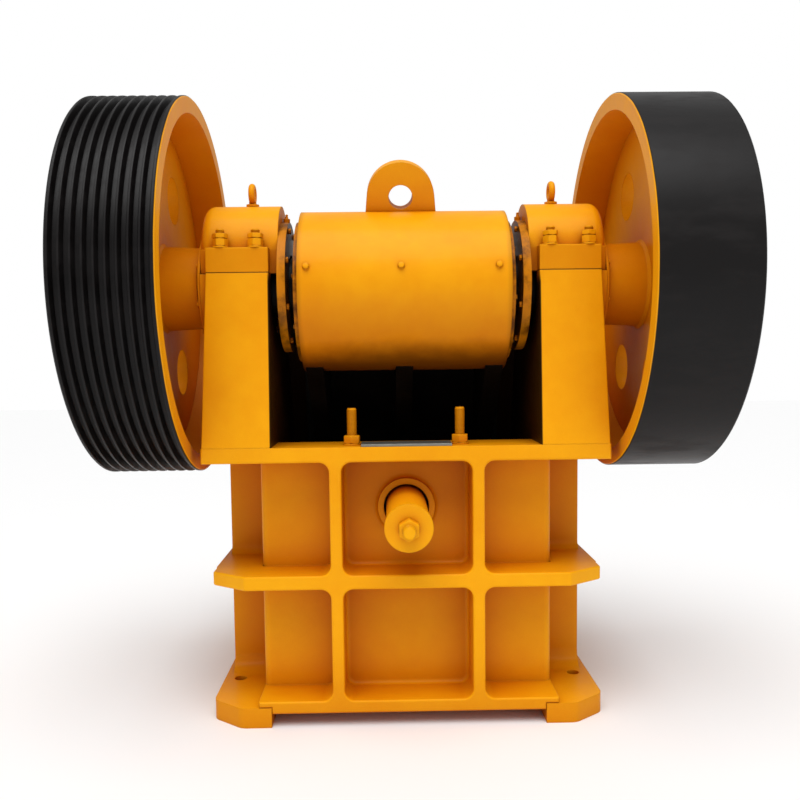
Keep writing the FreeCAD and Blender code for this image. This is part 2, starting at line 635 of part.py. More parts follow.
def eccentric_shaft():
    """Shaft with concentric main journals and an eccentric journal that carries the swing jaw."""
    parts = [rod("eccentric_journal", "x", "eccentric_radius", ("-eccentric_end", "eccentric_end"),
                 ("shaft_y", "shaft_height - crank_throw"))]
    for name, radius, inner, outer in (
            ("collar", "collar_radius", "eccentric_end", "collar_end"),
            ("journal", "journal_radius", "collar_end", "wheel_seat_start"),
            ("wheel_seat", "wheel_seat_radius", "wheel_seat_start", "shaft_end")):
        parts += [rod(side, "x", radius, span, ("shaft_y", "shaft_height"))
                  for side, span in both_sides(name, inner, outer)]
    node(fuse("shaft", *parts), "eccentric_shaft")


def wheel_rim(name, direction):
    """The rim of a wheel, thicker where it meets the web; direction is +1 or -1 along X."""
    def at(x):
        return f"{direction} * ({x})"

    root, edge = "wheel_radius - rim_root", "wheel_radius - rim_thick"
    return turned(name, [
        (at("web_outer"), root), (at("wheel_outer"), edge), (at("wheel_outer"),
                "wheel_radius - edge_chamfer"),
        (at("wheel_outer - edge_chamfer"), "wheel_radius"), (at("wheel_inner + edge_chamfer"),
                "wheel_radius"),
        (at("wheel_inner"), "wheel_radius - edge_chamfer"), (at("wheel_inner"), edge), (at("web_inner"),
                root)],
        "shaft_y", "shaft_height")


def wheel_web(name, direction):
    """The web of a wheel with its round holes, and the hub."""
    def at(x):
        return f"{direction} * ({x})"

    root = "wheel_radius - rim_root"
    body = turned(name, [
        (at("hub_inner"), "wheel_seat_radius"), (at("hub_outer"), "wheel_seat_radius"),
        (at("hub_outer"), "hub_radius"), (at("web_outer + web_fillet"), "hub_radius + 4"),
        (at("web_outer"), "hub_radius + 4 + web_fillet"), (at("web_outer"), root), (at("web_inner"), root),
        (at("web_inner"), "hub_radius + 4 + web_fillet"), (at("web_inner - web_fillet"), "hub_radius + 4"),
        (at("hub_inner"), "hub_radius")], "shaft_y", "shaft_height")
    doc.recompute()
    hole = body.newObject("PartDesign::Pocket", f"{name}_hole")
    hole.Profile = circle_sketch(body, f"{name}_hole_circle", "YZ_Plane",
                                 ("wheel_hole_circle * cos(wheel_hole_angle)",
                                  "wheel_hole_circle * sin(wheel_hole_angle)"),
                                 "wheel_hole_radius")
    hole.Type = "ThroughAll"
    hole.Midplane = True
    pattern = body.newObject("PartDesign::PolarPattern", f"{name}_holes")
    pattern.Originals = [hole]
    pattern.Axis = (origin_feature(body, "X_Axis"), [""])
    pattern.Angle = 360
    bind(pattern, Occurrences="wheel_holes")
    body.Tip = pattern
    return body


def wheels():
    """The plain flywheel, and the sheave with its row of V belt grooves."""
    node(wheel_rim("plain_rim", "1"), "flywheel_rim")
    node(wheel_web("plain_web", "1"), "flywheel_web")
    node(wheel_web("grooved_web", "-1"), "sheave_web")
    sheave = wheel_rim("grooved_rim", "-1")
    doc.recompute()
    first = "-(wheel_inner + wheel_outer) / 2 - (belt_grooves - 1) * groove_pitch / 2"
    belt_groove = sheave.newObject("PartDesign::Groove", "belt_groove")
    profile = outline_sketch(sheave, "belt_groove_profile", "XY_Plane", [
        (f"{first} - groove_width / 2", "wheel_radius"),
        (f"{first} - groove_floor / 2", "wheel_radius - groove_depth"),
        (f"{first} + groove_floor / 2", "wheel_radius - groove_depth"),
        (f"{first} + groove_width / 2", "wheel_radius"),
        (f"{first} + groove_width / 2", "wheel_radius + 1"),
        (f"{first} - groove_width / 2", "wheel_radius + 1")])
    belt_groove.Profile = profile
    belt_groove.ReferenceAxis = (profile, ["H_Axis"])
    belt_groove.Angle = 360
    rows = sheave.newObject("PartDesign::LinearPattern", "belt_groove_row")
    rows.Originals = [belt_groove]
    rows.Direction = (origin_feature(sheave, "X_Axis"), [""])
    bind(rows, Length="(belt_grooves - 1) * groove_pitch", Occurrences="belt_grooves")
    sheave.Tip = rows
    node(sheave, "sheave_rim")
    plates = [rod(name, "x", "end_plate_radius", span, ("shaft_y", "shaft_height"))
              for name, span in both_sides("end_plate", "shaft_end", "shaft_end + end_plate_thick")]
    node(group("end_plates", *plates), "shaft_end_plates")


def at_jaw_line(item, tilt="nip_angle"):
    """Stand a piece in the swing jaw's own frame: its Z up the jaw face, its Y out of that face."""
    item.Placement = Placement(Vector(), Rotation(Vector(1, 0, 0), value(tilt)))
    item.setExpression("Placement.Rotation.Angle", formula(f"{tilt} * 1deg"))
    return place(item, "0", "toe_y", "toe_z")


def swing_jaw():
    """Head, body, lifting lug and liner of the swing jaw."""
    head_z = "shaft_height - crank_throw"
    head = turned("head", [
        ("-barrel_half", "barrel_radius"), ("-barrel_half", "jaw_bearing_seat"),
        ("-jaw_bearing_start", "jaw_bearing_seat"), ("-jaw_bearing_start", "barrel_core"),
        ("jaw_bearing_start", "barrel_core"), ("jaw_bearing_start", "jaw_bearing_seat"),
        ("barrel_half", "jaw_bearing_seat"), ("barrel_half", "barrel_radius")], "shaft_y", head_z)
    node(head, "jaw_barrel")
    seals = [ring(name, "seal_radius", "seal_bore", span, z=head_z)
             for name, span in both_sides("seal_ring", "barrel_half", "seal_end")]
    node(group("seal_rings", *seals), "barrel_seal_rings")
    bearings = [ring(name, "jaw_bearing_seat", "eccentric_radius + running_gap", span, z=head_z)
                for name, span in both_sides("jaw_bearing", "jaw_bearing_start", "jaw_bearing_end")]
    node(group("jaw_bearing_pair", *bearings), "jaw_bearings")

    back = "-(plate_thick + jaw_front_wall)"
    front = plate("jaw_front", "YZ_Plane", [
        ("-12", "-25"), ("-12", "-3"), ("-plate_thick", "-3"), ("-plate_thick", "plate_length + 4"),
        (back, "plate_length + 4"), (back, "-25")], "-jaw_half", "jaw_half")
    toe_outline = [
        (back, "-25"), (back, "jaw_toe_height + 40"), ("-jaw_toe_depth", "jaw_toe_height"),
        ("-jaw_toe_depth", "0"), ("-jaw_toe_depth + 25", "-25")]
    toe = plate("jaw_toe", "YZ_Plane", toe_outline, "-jaw_half", "jaw_half")
    ribs = []
    for name, low, high in (("left", "-jaw_half", "jaw_rib - jaw_half"), ("middle", "-jaw_rib / 2",
            "jaw_rib / 2"),
                            ("right", "jaw_half - jaw_rib", "jaw_half")):
        ribs.append(plate(f"jaw_rib_{name}", "YZ_Plane", [
            (back, "jaw_toe_height - 10"), ("-jaw_toe_depth", "jaw_toe_height - 10"), ("-330", "470"),
            (back, "plate_length")], low, high))
    head_space = rod("head_space", "x", "barrel_radius", ("-2 * jaw_half", "2 * jaw_half"), ("shaft_y",
            head_z))
    node(cut("jaw_body_cut", at_jaw_line(fuse("jaw_body_solid", front, toe)), head_space), "jaw_body")
    toe_space = at_jaw_line(plate("toe_space", "YZ_Plane", toe_outline, "-jaw_half", "jaw_half"))
    node(group("jaw_rib_set", *(cut(f"{item.Name}_cut", at_jaw_line(item), head_space, toe_space)
                                for item in ribs)),
         "jaw_ribs")

    lug = new_body("lug")
    outline = outline_sketch(lug, "lug_outline", "XZ_Plane", [
        ("-lug_half", "0"), ("lug_half", "0"), ("lug_round", "lug_eye_rise + 6"),
        ("-lug_round", "lug_eye_rise + 6")])
    base = pad(lug, "lug_pad", outline, "lug_thick")
    base.Midplane = True
    crown = pad(lug, "lug_crown", circle_sketch(lug, "lug_crown_circle", "XZ_Plane", ("0", "lug_eye_rise"),
                                                "lug_round"), "lug_thick")
    crown.Midplane = True
    eye = lug.newObject("PartDesign::Pocket", "lug_eye")
    eye.Profile = circle_sketch(lug, "lug_eye_circle", "XZ_Plane", ("0", "lug_eye_rise"), "lug_eye_radius")
    eye.Type = "ThroughAll"
    eye.Midplane = True
    lug.Tip = eye
    lug.Placement = Placement(Vector(), Rotation(Vector(1, 0, 0), value("lug_lean")))
    place(lug, "lug_x", "shaft_y", "lug_base")
    node(cut("lug_cut", lug, head_space), "lifting_lug")

    node(at_jaw_line(toothed_plate("swing_liner", "jaw_half", "plate_thick", "plate_length", 8)),
         "swing_jaw_plate")
    seat = plate("toggle_seat", "YZ_Plane", [
        ("-jaw_toe_depth - 15", "70"), ("-jaw_toe_depth", "70"), ("-jaw_toe_depth", "120"),
        ("-jaw_toe_depth - 15", "120")], "-150", "150")
    node(at_jaw_line(seat), "jaw_toggle_seat")
    ears = [plate(name, "YZ_Plane", [
        ("-jaw_toe_depth - 44", "38"), ("-jaw_toe_depth", "30"), ("-jaw_toe_depth", "66"),
        ("-jaw_toe_depth - 44", "62")], *span) for name, span in both_sides("rod_ear", "15", "27")]
    pin = rod("rod_pin", "x", "9", ("-34", "34"), ("-jaw_toe_depth - 28", "50"))
    carrier = fuse("rod_bracket_solid", *ears, pin)
    node(at_jaw_line(carrier), "rod_bracket")


def toothed_plate(name, half_width, thickness, length, teeth):
    """A liner whose teeth run up it; its crests lie at Y = 0 and its back at minus its thickness."""
    body = new_body(name)
    slab = outline_sketch(body, f"{name}_slab", "XY_Plane", [
        (f"-{half_width}", f"-({thickness})"), (half_width, f"-({thickness})"),
        (half_width, "-tooth_rise"), (f"-{half_width}", "-tooth_rise")])
    pad(body, f"{name}_slab_pad", slab, length)
    first = f"-({teeth} - 1) * tooth_pitch / 2"
    tooth_sketch = outline_sketch(body, f"{name}_tooth", "XY_Plane", [
        (f"{first} - tooth_root / 2", "-tooth_rise"), (f"{first} + tooth_root / 2", "-tooth_rise"),
        (f"{first} + tooth_crest / 2", "0"), (f"{first} - tooth_crest / 2", "0")])
    tooth = pad(body, f"{name}_tooth_pad", tooth_sketch, length)
    rows = body.newObject("PartDesign::LinearPattern", f"{name}_teeth")
    rows.Originals = [tooth]
    rows.Direction = (origin_feature(body, "X_Axis"), [""])
    rows.Occurrences = teeth
    bind(rows, Length=f"({teeth} - 1) * tooth_pitch")
    body.Tip = rows
    return body


def crushing_chamber():
    """Fixed jaw plate and the two cheek plates."""
    liner = toothed_plate("fixed_liner", "fixed_half", "panel_inner_y - fixed_face_y",
                          "front_top - fixed_bottom", 7)
    liner.Placement = Placement(Vector(), Rotation(Vector(0, 0, 1), 180))
    node(place(liner, "0", "fixed_face_y", "fixed_bottom"), "fixed_jaw_plate")
    cheek = plate("cheek", "YZ_Plane", [
        ("panel_inner_y", "fixed_bottom"), ("panel_inner_y", "front_top"), ("0", "front_top"),
        ("-60", "front_top - 60"), ("90", "fixed_bottom")], "cheek_inner_x", "cheek_back_x")
    right = node(cheek, "right_cheek_plate")
    node(mirrored("cheek_left", right), "left_cheek_plate")


def adjusting_gear():
    """Toggle block, toggle plate and the studs and bar on the rear wall's upper flange."""
    node(box("toggle_block_box", ("-190", "190"), ("-panel_inner_y", "toggle_seat_y"),
             ("toggle_block_low", "top_flange_high - 8")), "toggle_block")
    node(plate("toggle", "YZ_Plane", [
        ("toggle_seat_y", "toggle_rear_z - toggle_thick / 2"),
        ("toggle_front_y", "toggle_front_z - toggle_thick / 2"),
        ("toggle_front_y", "toggle_front_z + toggle_thick / 2"),
        ("toggle_seat_y", "toggle_rear_z + toggle_thick / 2")],
        "-toggle_half", "toggle_half"), "toggle_plate")
    studs = []
    for side, x in (("right", "stud_x"), ("left", "-stud_x")):
        shank = rod(f"stud_{side}", "z", "stud_radius", ("top_flange_high", "stud_top"), (x, "stud_y"))
        nut = hexagon(f"stud_nut_{side}", "z", "nut_flats",
                      ("top_flange_high", "top_flange_high + nut_thick"),
                      (x, "stud_y"))
        studs.append(fuse(f"adjusting_stud_{side}", shank, nut))
    node(group("studs", *studs), "adjusting_studs")
    node(box("shim_bar_box", ("19 - stud_x", "stud_x - 19"), ("-frame_half_length + 2", "stud_y + 14"),
             ("top_flange_high", "top_flange_high + 5")), "shim_bar")


def on_rod_line(item):
    """Stand a piece on the tension rod's axis: its Y runs forwards along the rod."""
    item.Placement = Placement(Vector(), Rotation(Vector(1, 0, 0), value("rod_tilt")))
    item.setExpression("Placement.Rotation.Angle", formula("rod_tilt * 1deg"))
    return place(item, "0", "-panel_outer_y", "rod_height")


def tension_gear():
    """Tension rod, the tube round its spring, and the washer and nut that close it."""
    centre = ("0", "0")
    node(on_rod_line(group("rod_line", rod("rod_bar", "y", "rod_radius", ("-rod_rear", "rod_front"),
                                           centre))),
         "tension_rod")
    tube = cut("tube_cut", fuse("tube_solid", rod("tube", "y", "tube_radius", ("-tube_rear", "44"), centre),
                                rod("tube_flange", "y", "washer_radius", ("34", "44"), centre)),
               rod("tube_inside", "y", "tube_bore", ("-tube_rear - 1", "45"), centre))
    node(on_rod_line(tube), "spring_tube")
    washer = cut("washer_cut",
                 rod("washer", "y", "washer_radius", ("-tube_rear - washer_thick", "-tube_rear"), centre),
                 rod("washer_hole", "y", "rod_radius", ("-tube_rear - 2 * washer_thick", "0"), centre))
    node(on_rod_line(washer), "rod_washer")
    nut_end = "-tube_rear - washer_thick"
    nut = cut("rod_nut_cut", hexagon("rod_nut_hex", "y", "rod_nut_flats", (f"{nut_end} - rod_nut_thick",
            nut_end),
                                     centre),
              rod("rod_nut_hole", "y", "rod_radius", (f"{nut_end} - 2 * rod_nut_thick", "0"), centre))
    node(on_rod_line(nut), "rod_nut")


def export_nodes():
    """Recompute, check every object and every sub-part, and write one file for each sub-part."""
    doc.recompute()
    failed = [item.Name for item in doc.Objects if {"Invalid", "Error"} & set(item.State)]
    if failed:
        raise RuntimeError(f"failed objects: {failed}")
    os.makedirs("parts", exist_ok=True)
    for item in nodes:
        if item.Shape.isNull() or not item.Shape.isValid() or item.Shape.Volume <= 0:
            raise RuntimeError(f"bad shape: {item.Label}")
    for item in nodes:
        item.Shape.exportStep(f"parts/{item.Label}.step")
        extent = item.Shape.BoundBox
        print(f"{item.Label:26s} {item.Shape.Volume / 1e6:8.3f} l  solids {len(item.Shape.Solids)}  "
              f"x {extent.XMin:.0f}..{extent.XMax:.0f}  y {extent.YMin:.0f}..{extent.YMax:.0f}  "
              f"z {extent.ZMin:.0f}..{extent.ZMax:.0f}")
    print(f"nodes {len(nodes)}, solid volume {sum(item.Shape.Volume for item in nodes) / 1e9:.4f} m3")


rear_wall()
front_wall()
side_wall()
bearing_pedestal()
bearing_cap()
bearing_details()
eccentric_shaft()
wheels()
swing_jaw()
crushing_chamber()
adjusting_gear()
tension_gear()
export_nodes()
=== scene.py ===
"""Jaw crusher: paint and metal finishes, bolts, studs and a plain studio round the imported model."""

import json
import math

import bpy
from bpy.props import FloatProperty, FloatVectorProperty, IntProperty, PointerProperty
from mathutils import Matrix, Vector


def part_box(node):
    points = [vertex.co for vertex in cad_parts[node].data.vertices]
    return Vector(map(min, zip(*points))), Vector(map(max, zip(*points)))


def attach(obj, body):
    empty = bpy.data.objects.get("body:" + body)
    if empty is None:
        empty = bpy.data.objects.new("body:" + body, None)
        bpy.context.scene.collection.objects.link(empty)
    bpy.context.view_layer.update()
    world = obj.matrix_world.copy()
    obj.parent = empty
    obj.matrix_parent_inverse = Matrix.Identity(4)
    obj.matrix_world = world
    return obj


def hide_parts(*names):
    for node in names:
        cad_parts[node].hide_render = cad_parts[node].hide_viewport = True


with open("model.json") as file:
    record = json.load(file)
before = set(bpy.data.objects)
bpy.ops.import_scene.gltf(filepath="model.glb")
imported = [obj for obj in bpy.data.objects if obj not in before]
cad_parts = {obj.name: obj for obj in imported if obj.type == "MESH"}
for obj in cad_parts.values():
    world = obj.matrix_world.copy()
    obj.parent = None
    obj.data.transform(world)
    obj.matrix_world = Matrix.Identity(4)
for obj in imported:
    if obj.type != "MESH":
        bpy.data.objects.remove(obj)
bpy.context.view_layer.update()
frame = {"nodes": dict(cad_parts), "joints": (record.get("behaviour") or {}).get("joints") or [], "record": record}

bl_info = {
    "name": "Jaw Crusher",
    "version": (1, 0, 0),
    "blender": (4, 5, 0),
    "location": "3D View > Sidebar > Crusher",
    "description": "Finishes, fasteners and studio for a jaw crusher",
    "category": "Object",
}

SHAFT = Vector(next(joint["pos_m"] for joint in frame["joints"] if joint["name"] == "shaft_turn"))
JAW_PIN = Vector(next(joint["pos_m"] for joint in frame["joints"] if joint["name"] == "jaw_stroke"))
SLOT_OF = {part["node"]: part["material_slot"] for part in frame["record"]["subparts"]}
MM = 0.001

SKIN_DEPTH = 1.1 * MM  # bump of the cast skin under paint
ENAMEL_COAT = {"coat_weight": 0.04, "coat_roughness": 0.15, "specular_ior_level": 0.07}
BORDER_BLUR = 0.8 * MM  # half width of a painted border
CAP_LEDGE = 46 * MM  # height of a cap's bolting ledge over the cap joint
GROOVE_REACH = 16 * MM  # black paint goes this deep into the belt grooves
CAP_STUDS = {"right": (23 * MM, 98 * MM), "left": (25 * MM, 93 * MM)}  # outward from the inner face
CAP_STUD_REACH = 114 * MM  # from the shaft's axis to the cap studs in front of and behind it
INNER_BOLT_CIRCLE = 118 * MM
OUTER_BOLT_CIRCLE = 96 * MM
SEAL_BOLT_CIRCLE = 128 * MM
END_BOLT_CIRCLE = 34 * MM
COVER_THICK = 16 * MM  # inner bearing cover
STUD_RADIUS = 10 * MM  # adjusting studs
ROD_LEAN = math.radians(2.5)  # slope of the tension rod
PLUG_PLACES = (-187 * MM, -6.5 * MM, 180 * MM)  # along the jaw's head
UP = (0.0, 0.0, 1.0)
FLOOR_HALF = 12.0  # metres
CEILING_SPREAD = math.radians(50)  # softness of the ceiling light's shadows
CEILING_TURN = (math.radians(24), 0, math.radians(-8))
LAMPS_AIM = Vector((0, -0.1, 0.6))  # where both lamps point
LENS_SHIFT = 0.0349  # upward, as a share of the picture's width


# ---------------------------------------------------------------- shader maths

class Value:
    """A shader socket that takes part in Python arithmetic."""

    def __init__(self, graph, socket):
        self.graph, self.socket = graph, socket

    def math(self, operation, *others):
        sockets = {0: self, **dict(enumerate(others, 1))}
        return self.graph.node("ShaderNodeMath", {"operation": operation}, sockets)[0]

    def __add__(self, other):
        return self.math("ADD", other)

    __radd__ = __add__

    def __sub__(self, other):
        return self.math("SUBTRACT", other)

    def __rsub__(self, other):
        return self.graph.node("ShaderNodeMath", {"operation": "SUBTRACT"}, {0: other, 1: self})[0]

    def __mul__(self, other):
        return self.math("MULTIPLY", other)

    __rmul__ = __mul__

    def __pow__(self, other):
        return self.math("POWER", other)

    def __abs__(self):
        return self.math("ABSOLUTE")

    def above(self, level, blur):
        """0 below a level and 1 above it, blurred over a width."""
        return self.graph.node("ShaderNodeMapRange", {"interpolation_type": "SMOOTHSTEP"},
                               {"Value": self, "From Min": level - blur, "From Max": level + blur})[0]


class Graph:
    """The node tree of one material."""

    def __init__(self, name):
        self.material = bpy.data.materials.new(name)
        self.material.use_nodes = True
        self.tree = self.material.node_tree
        self.tree.nodes.clear()
        self.place = self.node("ShaderNodeTexCoord")["Object"]

    def node(self, kind, settings=None, sockets=None):
        """Add a node: its settings first, then the values or links of its sockets; gives its outputs."""
        made = self.tree.nodes.new(kind)
        for name, setting in (settings or {}).items():
            setattr(made, name, setting)
        by_key = {socket.identifier: socket for socket in made.inputs}
        for key, given in (sockets or {}).items():
            socket = made.inputs[key] if isinstance(key, int) else by_key.get(key) or made.inputs[key]
            if isinstance(given, Value):
                self.tree.links.new(given.socket, socket)
            else:
                socket.default_value = given
        outputs = {index: Value(self, socket) for index, socket in enumerate(made.outputs)}
        outputs.update({socket.identifier: Value(self, socket) for socket in made.outputs})
        return outputs

    def noise(self, scale, detail=3.0, roughness=0.55, stretch=None):
        """Noise from 0 to 1 on the object's own coordinates; stretch multiplies its scale on each axis."""
        place = self.place
        if stretch:
            place = self.node("ShaderNodeMapping", None, {"Vector": place, "Scale": stretch})[0]
        return self.node("ShaderNodeTexNoise", None, {
            "Vector": place, "Scale": scale, "Detail": detail, "Roughness": roughness})[0]

    def axes(self):
        split = self.node("ShaderNodeSeparateXYZ", None, {"Vector": self.place})
        return split[0], split[1], split[2]

    def blend(self, factor, first, second):
        """Colour mix: first at factor 0, second at factor 1."""
        return self.node("ShaderNodeMix", {"data_type": "RGBA"}, {
            "Factor_Float": factor, "A_Color": first, "B_Color": second})["Result_Color"]

    def openness(self, reach):
        """1 on open faces, falling towards 0 in corners and recesses."""
        return self.node("ShaderNodeAmbientOcclusion", {"samples": 6}, {"Distance": reach})["AO"]

    def soft_edges(self, radius):
        """Normals that turn smoothly over the edges of a casting."""
        return self.node("ShaderNodeBevel", {"samples": 4}, {"Radius": radius})[0]

    def finish(self, color, roughness, height=None, depth=0.0, normal=None, **constants):
        """Principled shader with a bump of the given depth in metres; constants go on its own sockets."""
        sockets = {"Base Color": color, "Roughness": roughness}
        sockets.update({name.replace("_", " ").title().replace("Ior", "IOR"): given
                        for name, given in constants.items()})
        if height is not None:
            bump = {"Height": height, "Distance": depth, "Strength": 1.0}
            if normal is not None:
                bump["Normal"] = normal
            sockets["Normal"] = self.node("ShaderNodeBump", None, bump)[0]
        shader = self.node("ShaderNodeBsdfPrincipled", None, sockets)[0]
        self.node("ShaderNodeOutputMaterial", {"is_active_output": True}, {"Surface": shader})
        return self.material


def rgba(color):
    return (*color[:3], 1.0)


def enamel_color(graph, paint):
    """Yellow enamel: painted shade, warmer and deeper, in corners and bays; grime with painted shade in tight
    creases; a little uneven on open faces.
    """
    broad = graph.noise(4.0, 3.0)
    mottle = graph.noise(28.0, 4.0)
    uneven = (broad * 0.7 + mottle * 0.3).above(0.5, 0.22)
    open_face = graph.blend(uneven, rgba(paint.enamel_warm), rgba(paint.enamel))
    corner = graph.openness(0.17)
    near = graph.openness(0.03)
    # painted shade: darker, warmer enamel where ambient occlusion finds corners and bays
    color = graph.blend(corner, rgba(paint.enamel_shade), open_face)
    # tight creases get dark grime that is partly painted shade, from ambient occlusion
    grime_and_shade = (1 - near).above(0.46, 0.22) * (graph.noise(24.0, 4.0) * 0.5 + 0.3)
    return graph.blend(grime_and_shade * 0.3, color, rgba(paint.grime_and_shade)), mottle


def enamel_skin(graph, mottle):
    """Height of brush waves over the cast skin, and the fine skin alone."""
    skin = graph.noise(95.0, 5.0, 0.6)
    waves = graph.noise(14.0, 2.0)
    return waves * 1.6 + skin * 0.45 + mottle * 0.5, skin


def enamel_finish(graph, paint, color, roughness, height):
    """Enamel's shader: a bump of the given height, softened edges and a thin clear coat."""
    return graph.finish(color, roughness, height, SKIN_DEPTH * paint.casting_skin,
                        graph.soft_edges(paint.edge_softness), **ENAMEL_COAT)


def enamel(paint):
    """Machine enamel brushed over cast iron, left off inside the frame, where near-black casting colour also
    stands in as painted shade.
    """
    graph = Graph("yellow_enamel_on_casting")
    color, mottle = enamel_color(graph, paint)
    x, y, z = graph.axes()
    inner_x, inner_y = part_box("right_bearing_pedestal")[0].x, -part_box("rear_wall")[1].y
    margin, mouth = 1.5 * MM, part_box("front_wall")[1].z - 40 * MM
    between_sides = 1 - abs(x).above(inner_x + margin, BORDER_BLUR)
    between_ends = 1 - abs(y).above(inner_y + margin, BORDER_BLUR)
    inside = between_sides * between_ends * (1 - z.above(mouth, 12 * MM))
    # inside the frame: near-black unpainted casting, dark enough to be painted shade as well
    color = graph.blend(inside * 0.96, color, rgba(paint.dark_casting_and_shade))
    height, skin = enamel_skin(graph, mottle)
    return enamel_finish(graph, paint, color, 0.30 + mottle * 0.16 + skin * 0.06, height)


def joint_enamel(paint):
    """The same enamel with the joint line under a bearing cap, painted shade on the cap's ledge, and painted shade
    down the pedestal's inner face.
    """
    graph = Graph("yellow_enamel_with_cap_joint")
    color, mottle = enamel_color(graph, paint)
    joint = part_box("right_bearing_pedestal")[1].z
    inner_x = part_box("right_bearing_pedestal")[0].x
    x, _, level = graph.axes()
    wander = (graph.noise(40.0) - 0.5) * (0.8 * MM)
    line = 1 - abs(level - joint + wander).above(0.9 * MM, 0.6 * MM)
    # painted shade: the cap's ledge face is darkened as if it caught less light than the pedestal below
    ledge = level.above(joint, 1 * MM) * (1 - level.above(joint + CAP_LEDGE, 2 * MM))
    color = graph.blend(ledge * 0.3, color, rgba(paint.enamel_shade))
    # painted shade: the pedestal's inner face below the joint goes near-black, with a ragged top edge
    inner_face = 1 - abs(x).above(inner_x + 2 * MM, 1 * MM)
    ragged = (graph.noise(16.0, 4.0) - 0.5) * 0.05
    shaded = inner_face * (1 - (level + ragged).above(joint - 12 * MM, 8 * MM))
    color = graph.blend(shaded * 0.95, color, rgba(paint.dark_casting_and_shade))
    color = graph.blend(line * 0.75, color, rgba(paint.grime_and_shade))
    height, skin = enamel_skin(graph, mottle)
    return enamel_finish(graph, paint, color, 0.30 + mottle * 0.16 + skin * 0.06, height - line * 0.9)


def head_enamel(paint):
    """The same enamel on the jaw's head, with painted shade towards its underside and darker towards its ends."""
    # this enamel has painted shade below
    graph = Graph("yellow_enamel_oily_below")
    color, mottle = enamel_color(graph, paint)
    x, _, z = graph.axes()
    low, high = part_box("jaw_barrel")
    wander = graph.noise(7.0, 4.0) - 0.5
    middle = (low.z + high.z) / 2
    ragged_z = z + wander * 0.05
    # painted shade: the lower half of the head darkens, and its underside goes darkest
    below = 1 - ragged_z.above(middle - 35 * MM, 120 * MM)
    underside_shade = 1 - ragged_z.above(middle - 124 * MM, 28 * MM)
    # darker towards the head's ends
    end_rims = (abs(x) + wander * 0.012).above(high.x - 5 * MM, 6 * MM)
    color = graph.blend(below * 0.62, color, rgba(paint.enamel_shade))
    color = graph.blend(underside_shade * 0.85, color, rgba(paint.grime_and_shade))
    color = graph.blend(end_rims * 0.3, color, rgba(paint.grime_and_shade))
    height, _ = enamel_skin(graph, mottle)
    return enamel_finish(graph, paint, color, 0.28 + mottle * 0.16 + below * 0.1, height)


def rim_paint(paint):
    """Wheel rims: black round the outside and its outer corner, yellow enamel on the sides and inside."""
    graph = Graph("rim_black_and_yellow")
    x, y, z = graph.axes()
    low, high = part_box("flywheel_rim")
    wheel, half = (high.z - low.z) / 2, (high.x - low.x) / 2
    wander = (graph.noise(9.0, 2.0) - 0.5) * (1.6 * MM)
    radius = ((y - SHAFT.y) ** 2 + (z - SHAFT.z) ** 2) ** 0.5 + wander
    outward = abs(x) - (low.x + high.x) / 2
    blur = 0.6 * MM
    on_a_side = (abs(outward) + wander).above(half - 1.6 * MM, blur)
    around = radius.above(wheel - GROOVE_REACH, blur) * (1 - on_a_side)
    outer_corner = radius.above(wheel - 6 * MM, blur) * outward.above(half - 5 * MM, 1 * MM)
    band = around.math("MAXIMUM", outer_corner)
    yellow, mottle = enamel_color(graph, paint)
    scuffs = graph.noise(16.0, 5.0, 0.65, (0.35, 1, 1)).above(0.56, 0.10)
    dust = graph.noise(5.0, 4.0)
    black = graph.blend(scuffs * 0.5 + dust * 0.2, rgba(paint.black), rgba(paint.black_worn))
    black_rough, yellow_rough = 0.32 + scuffs * 0.16 + dust * 0.12, 0.32 + mottle * 0.16
    skin = graph.noise(95.0, 5.0, 0.6)
    height = graph.noise(10.0, 2.0) * 1.2 + skin * (0.5 - band * 0.3) + mottle * 0.4
    return graph.finish(graph.blend(band, yellow, black), black_rough * band + yellow_rough * (1 - band),
                        height, 1.0 * MM * paint.casting_skin, graph.soft_edges(paint.edge_softness * 0.6),
                        coat_weight=0.04, coat_roughness=0.2, specular_ior_level=0.16)


def seal_paint(paint):
    """Thin orange paint over turned rings, rubbed dark with grease, with painted shade in its creases."""
    graph = Graph("oily_orange_paint")
    rings = graph.noise(60.0, 3.0, 0.6, (8, 1, 1))
    # grease patches, joined by painted shade where ambient occlusion finds creases
    grease = (graph.noise(24.0, 5.0, 0.65) + (1 - graph.openness(0.04)) * 0.35).above(0.62, 0.16)
    color = graph.blend(rings * 0.5, rgba(paint.seal), rgba(paint.seal_dark))
    color = graph.blend(grease * 0.85, color, rgba(paint.grime_and_shade))
    return graph.finish(color, 0.38 - grease * 0.14 + rings * 0.1, graph.noise(120.0, 4.0) + rings, 0.3 * MM,
                        graph.soft_edges(1.5 * MM), coat_weight=0.04, coat_roughness=0.2,
                        specular_ior_level=0.08)


def greasy_casting(paint):
    """Dark unpainted casting with a film of grease and dust."""
    graph = Graph("dark_greasy_casting")
    skin = graph.noise(110.0, 5.0, 0.6)
    dust = graph.noise(9.0, 5.0, 0.6).above(0.58, 0.14)
    color = graph.blend(dust * 0.5, rgba(paint.dark_casting_and_shade), rgba(paint.dark_dust))
    return graph.finish(color, 0.42 + dust * 0.25 + skin * 0.08, skin + graph.noise(20.0, 3.0), 0.8 * MM,
                        graph.soft_edges(3 * MM), specular_ior_level=0.06)


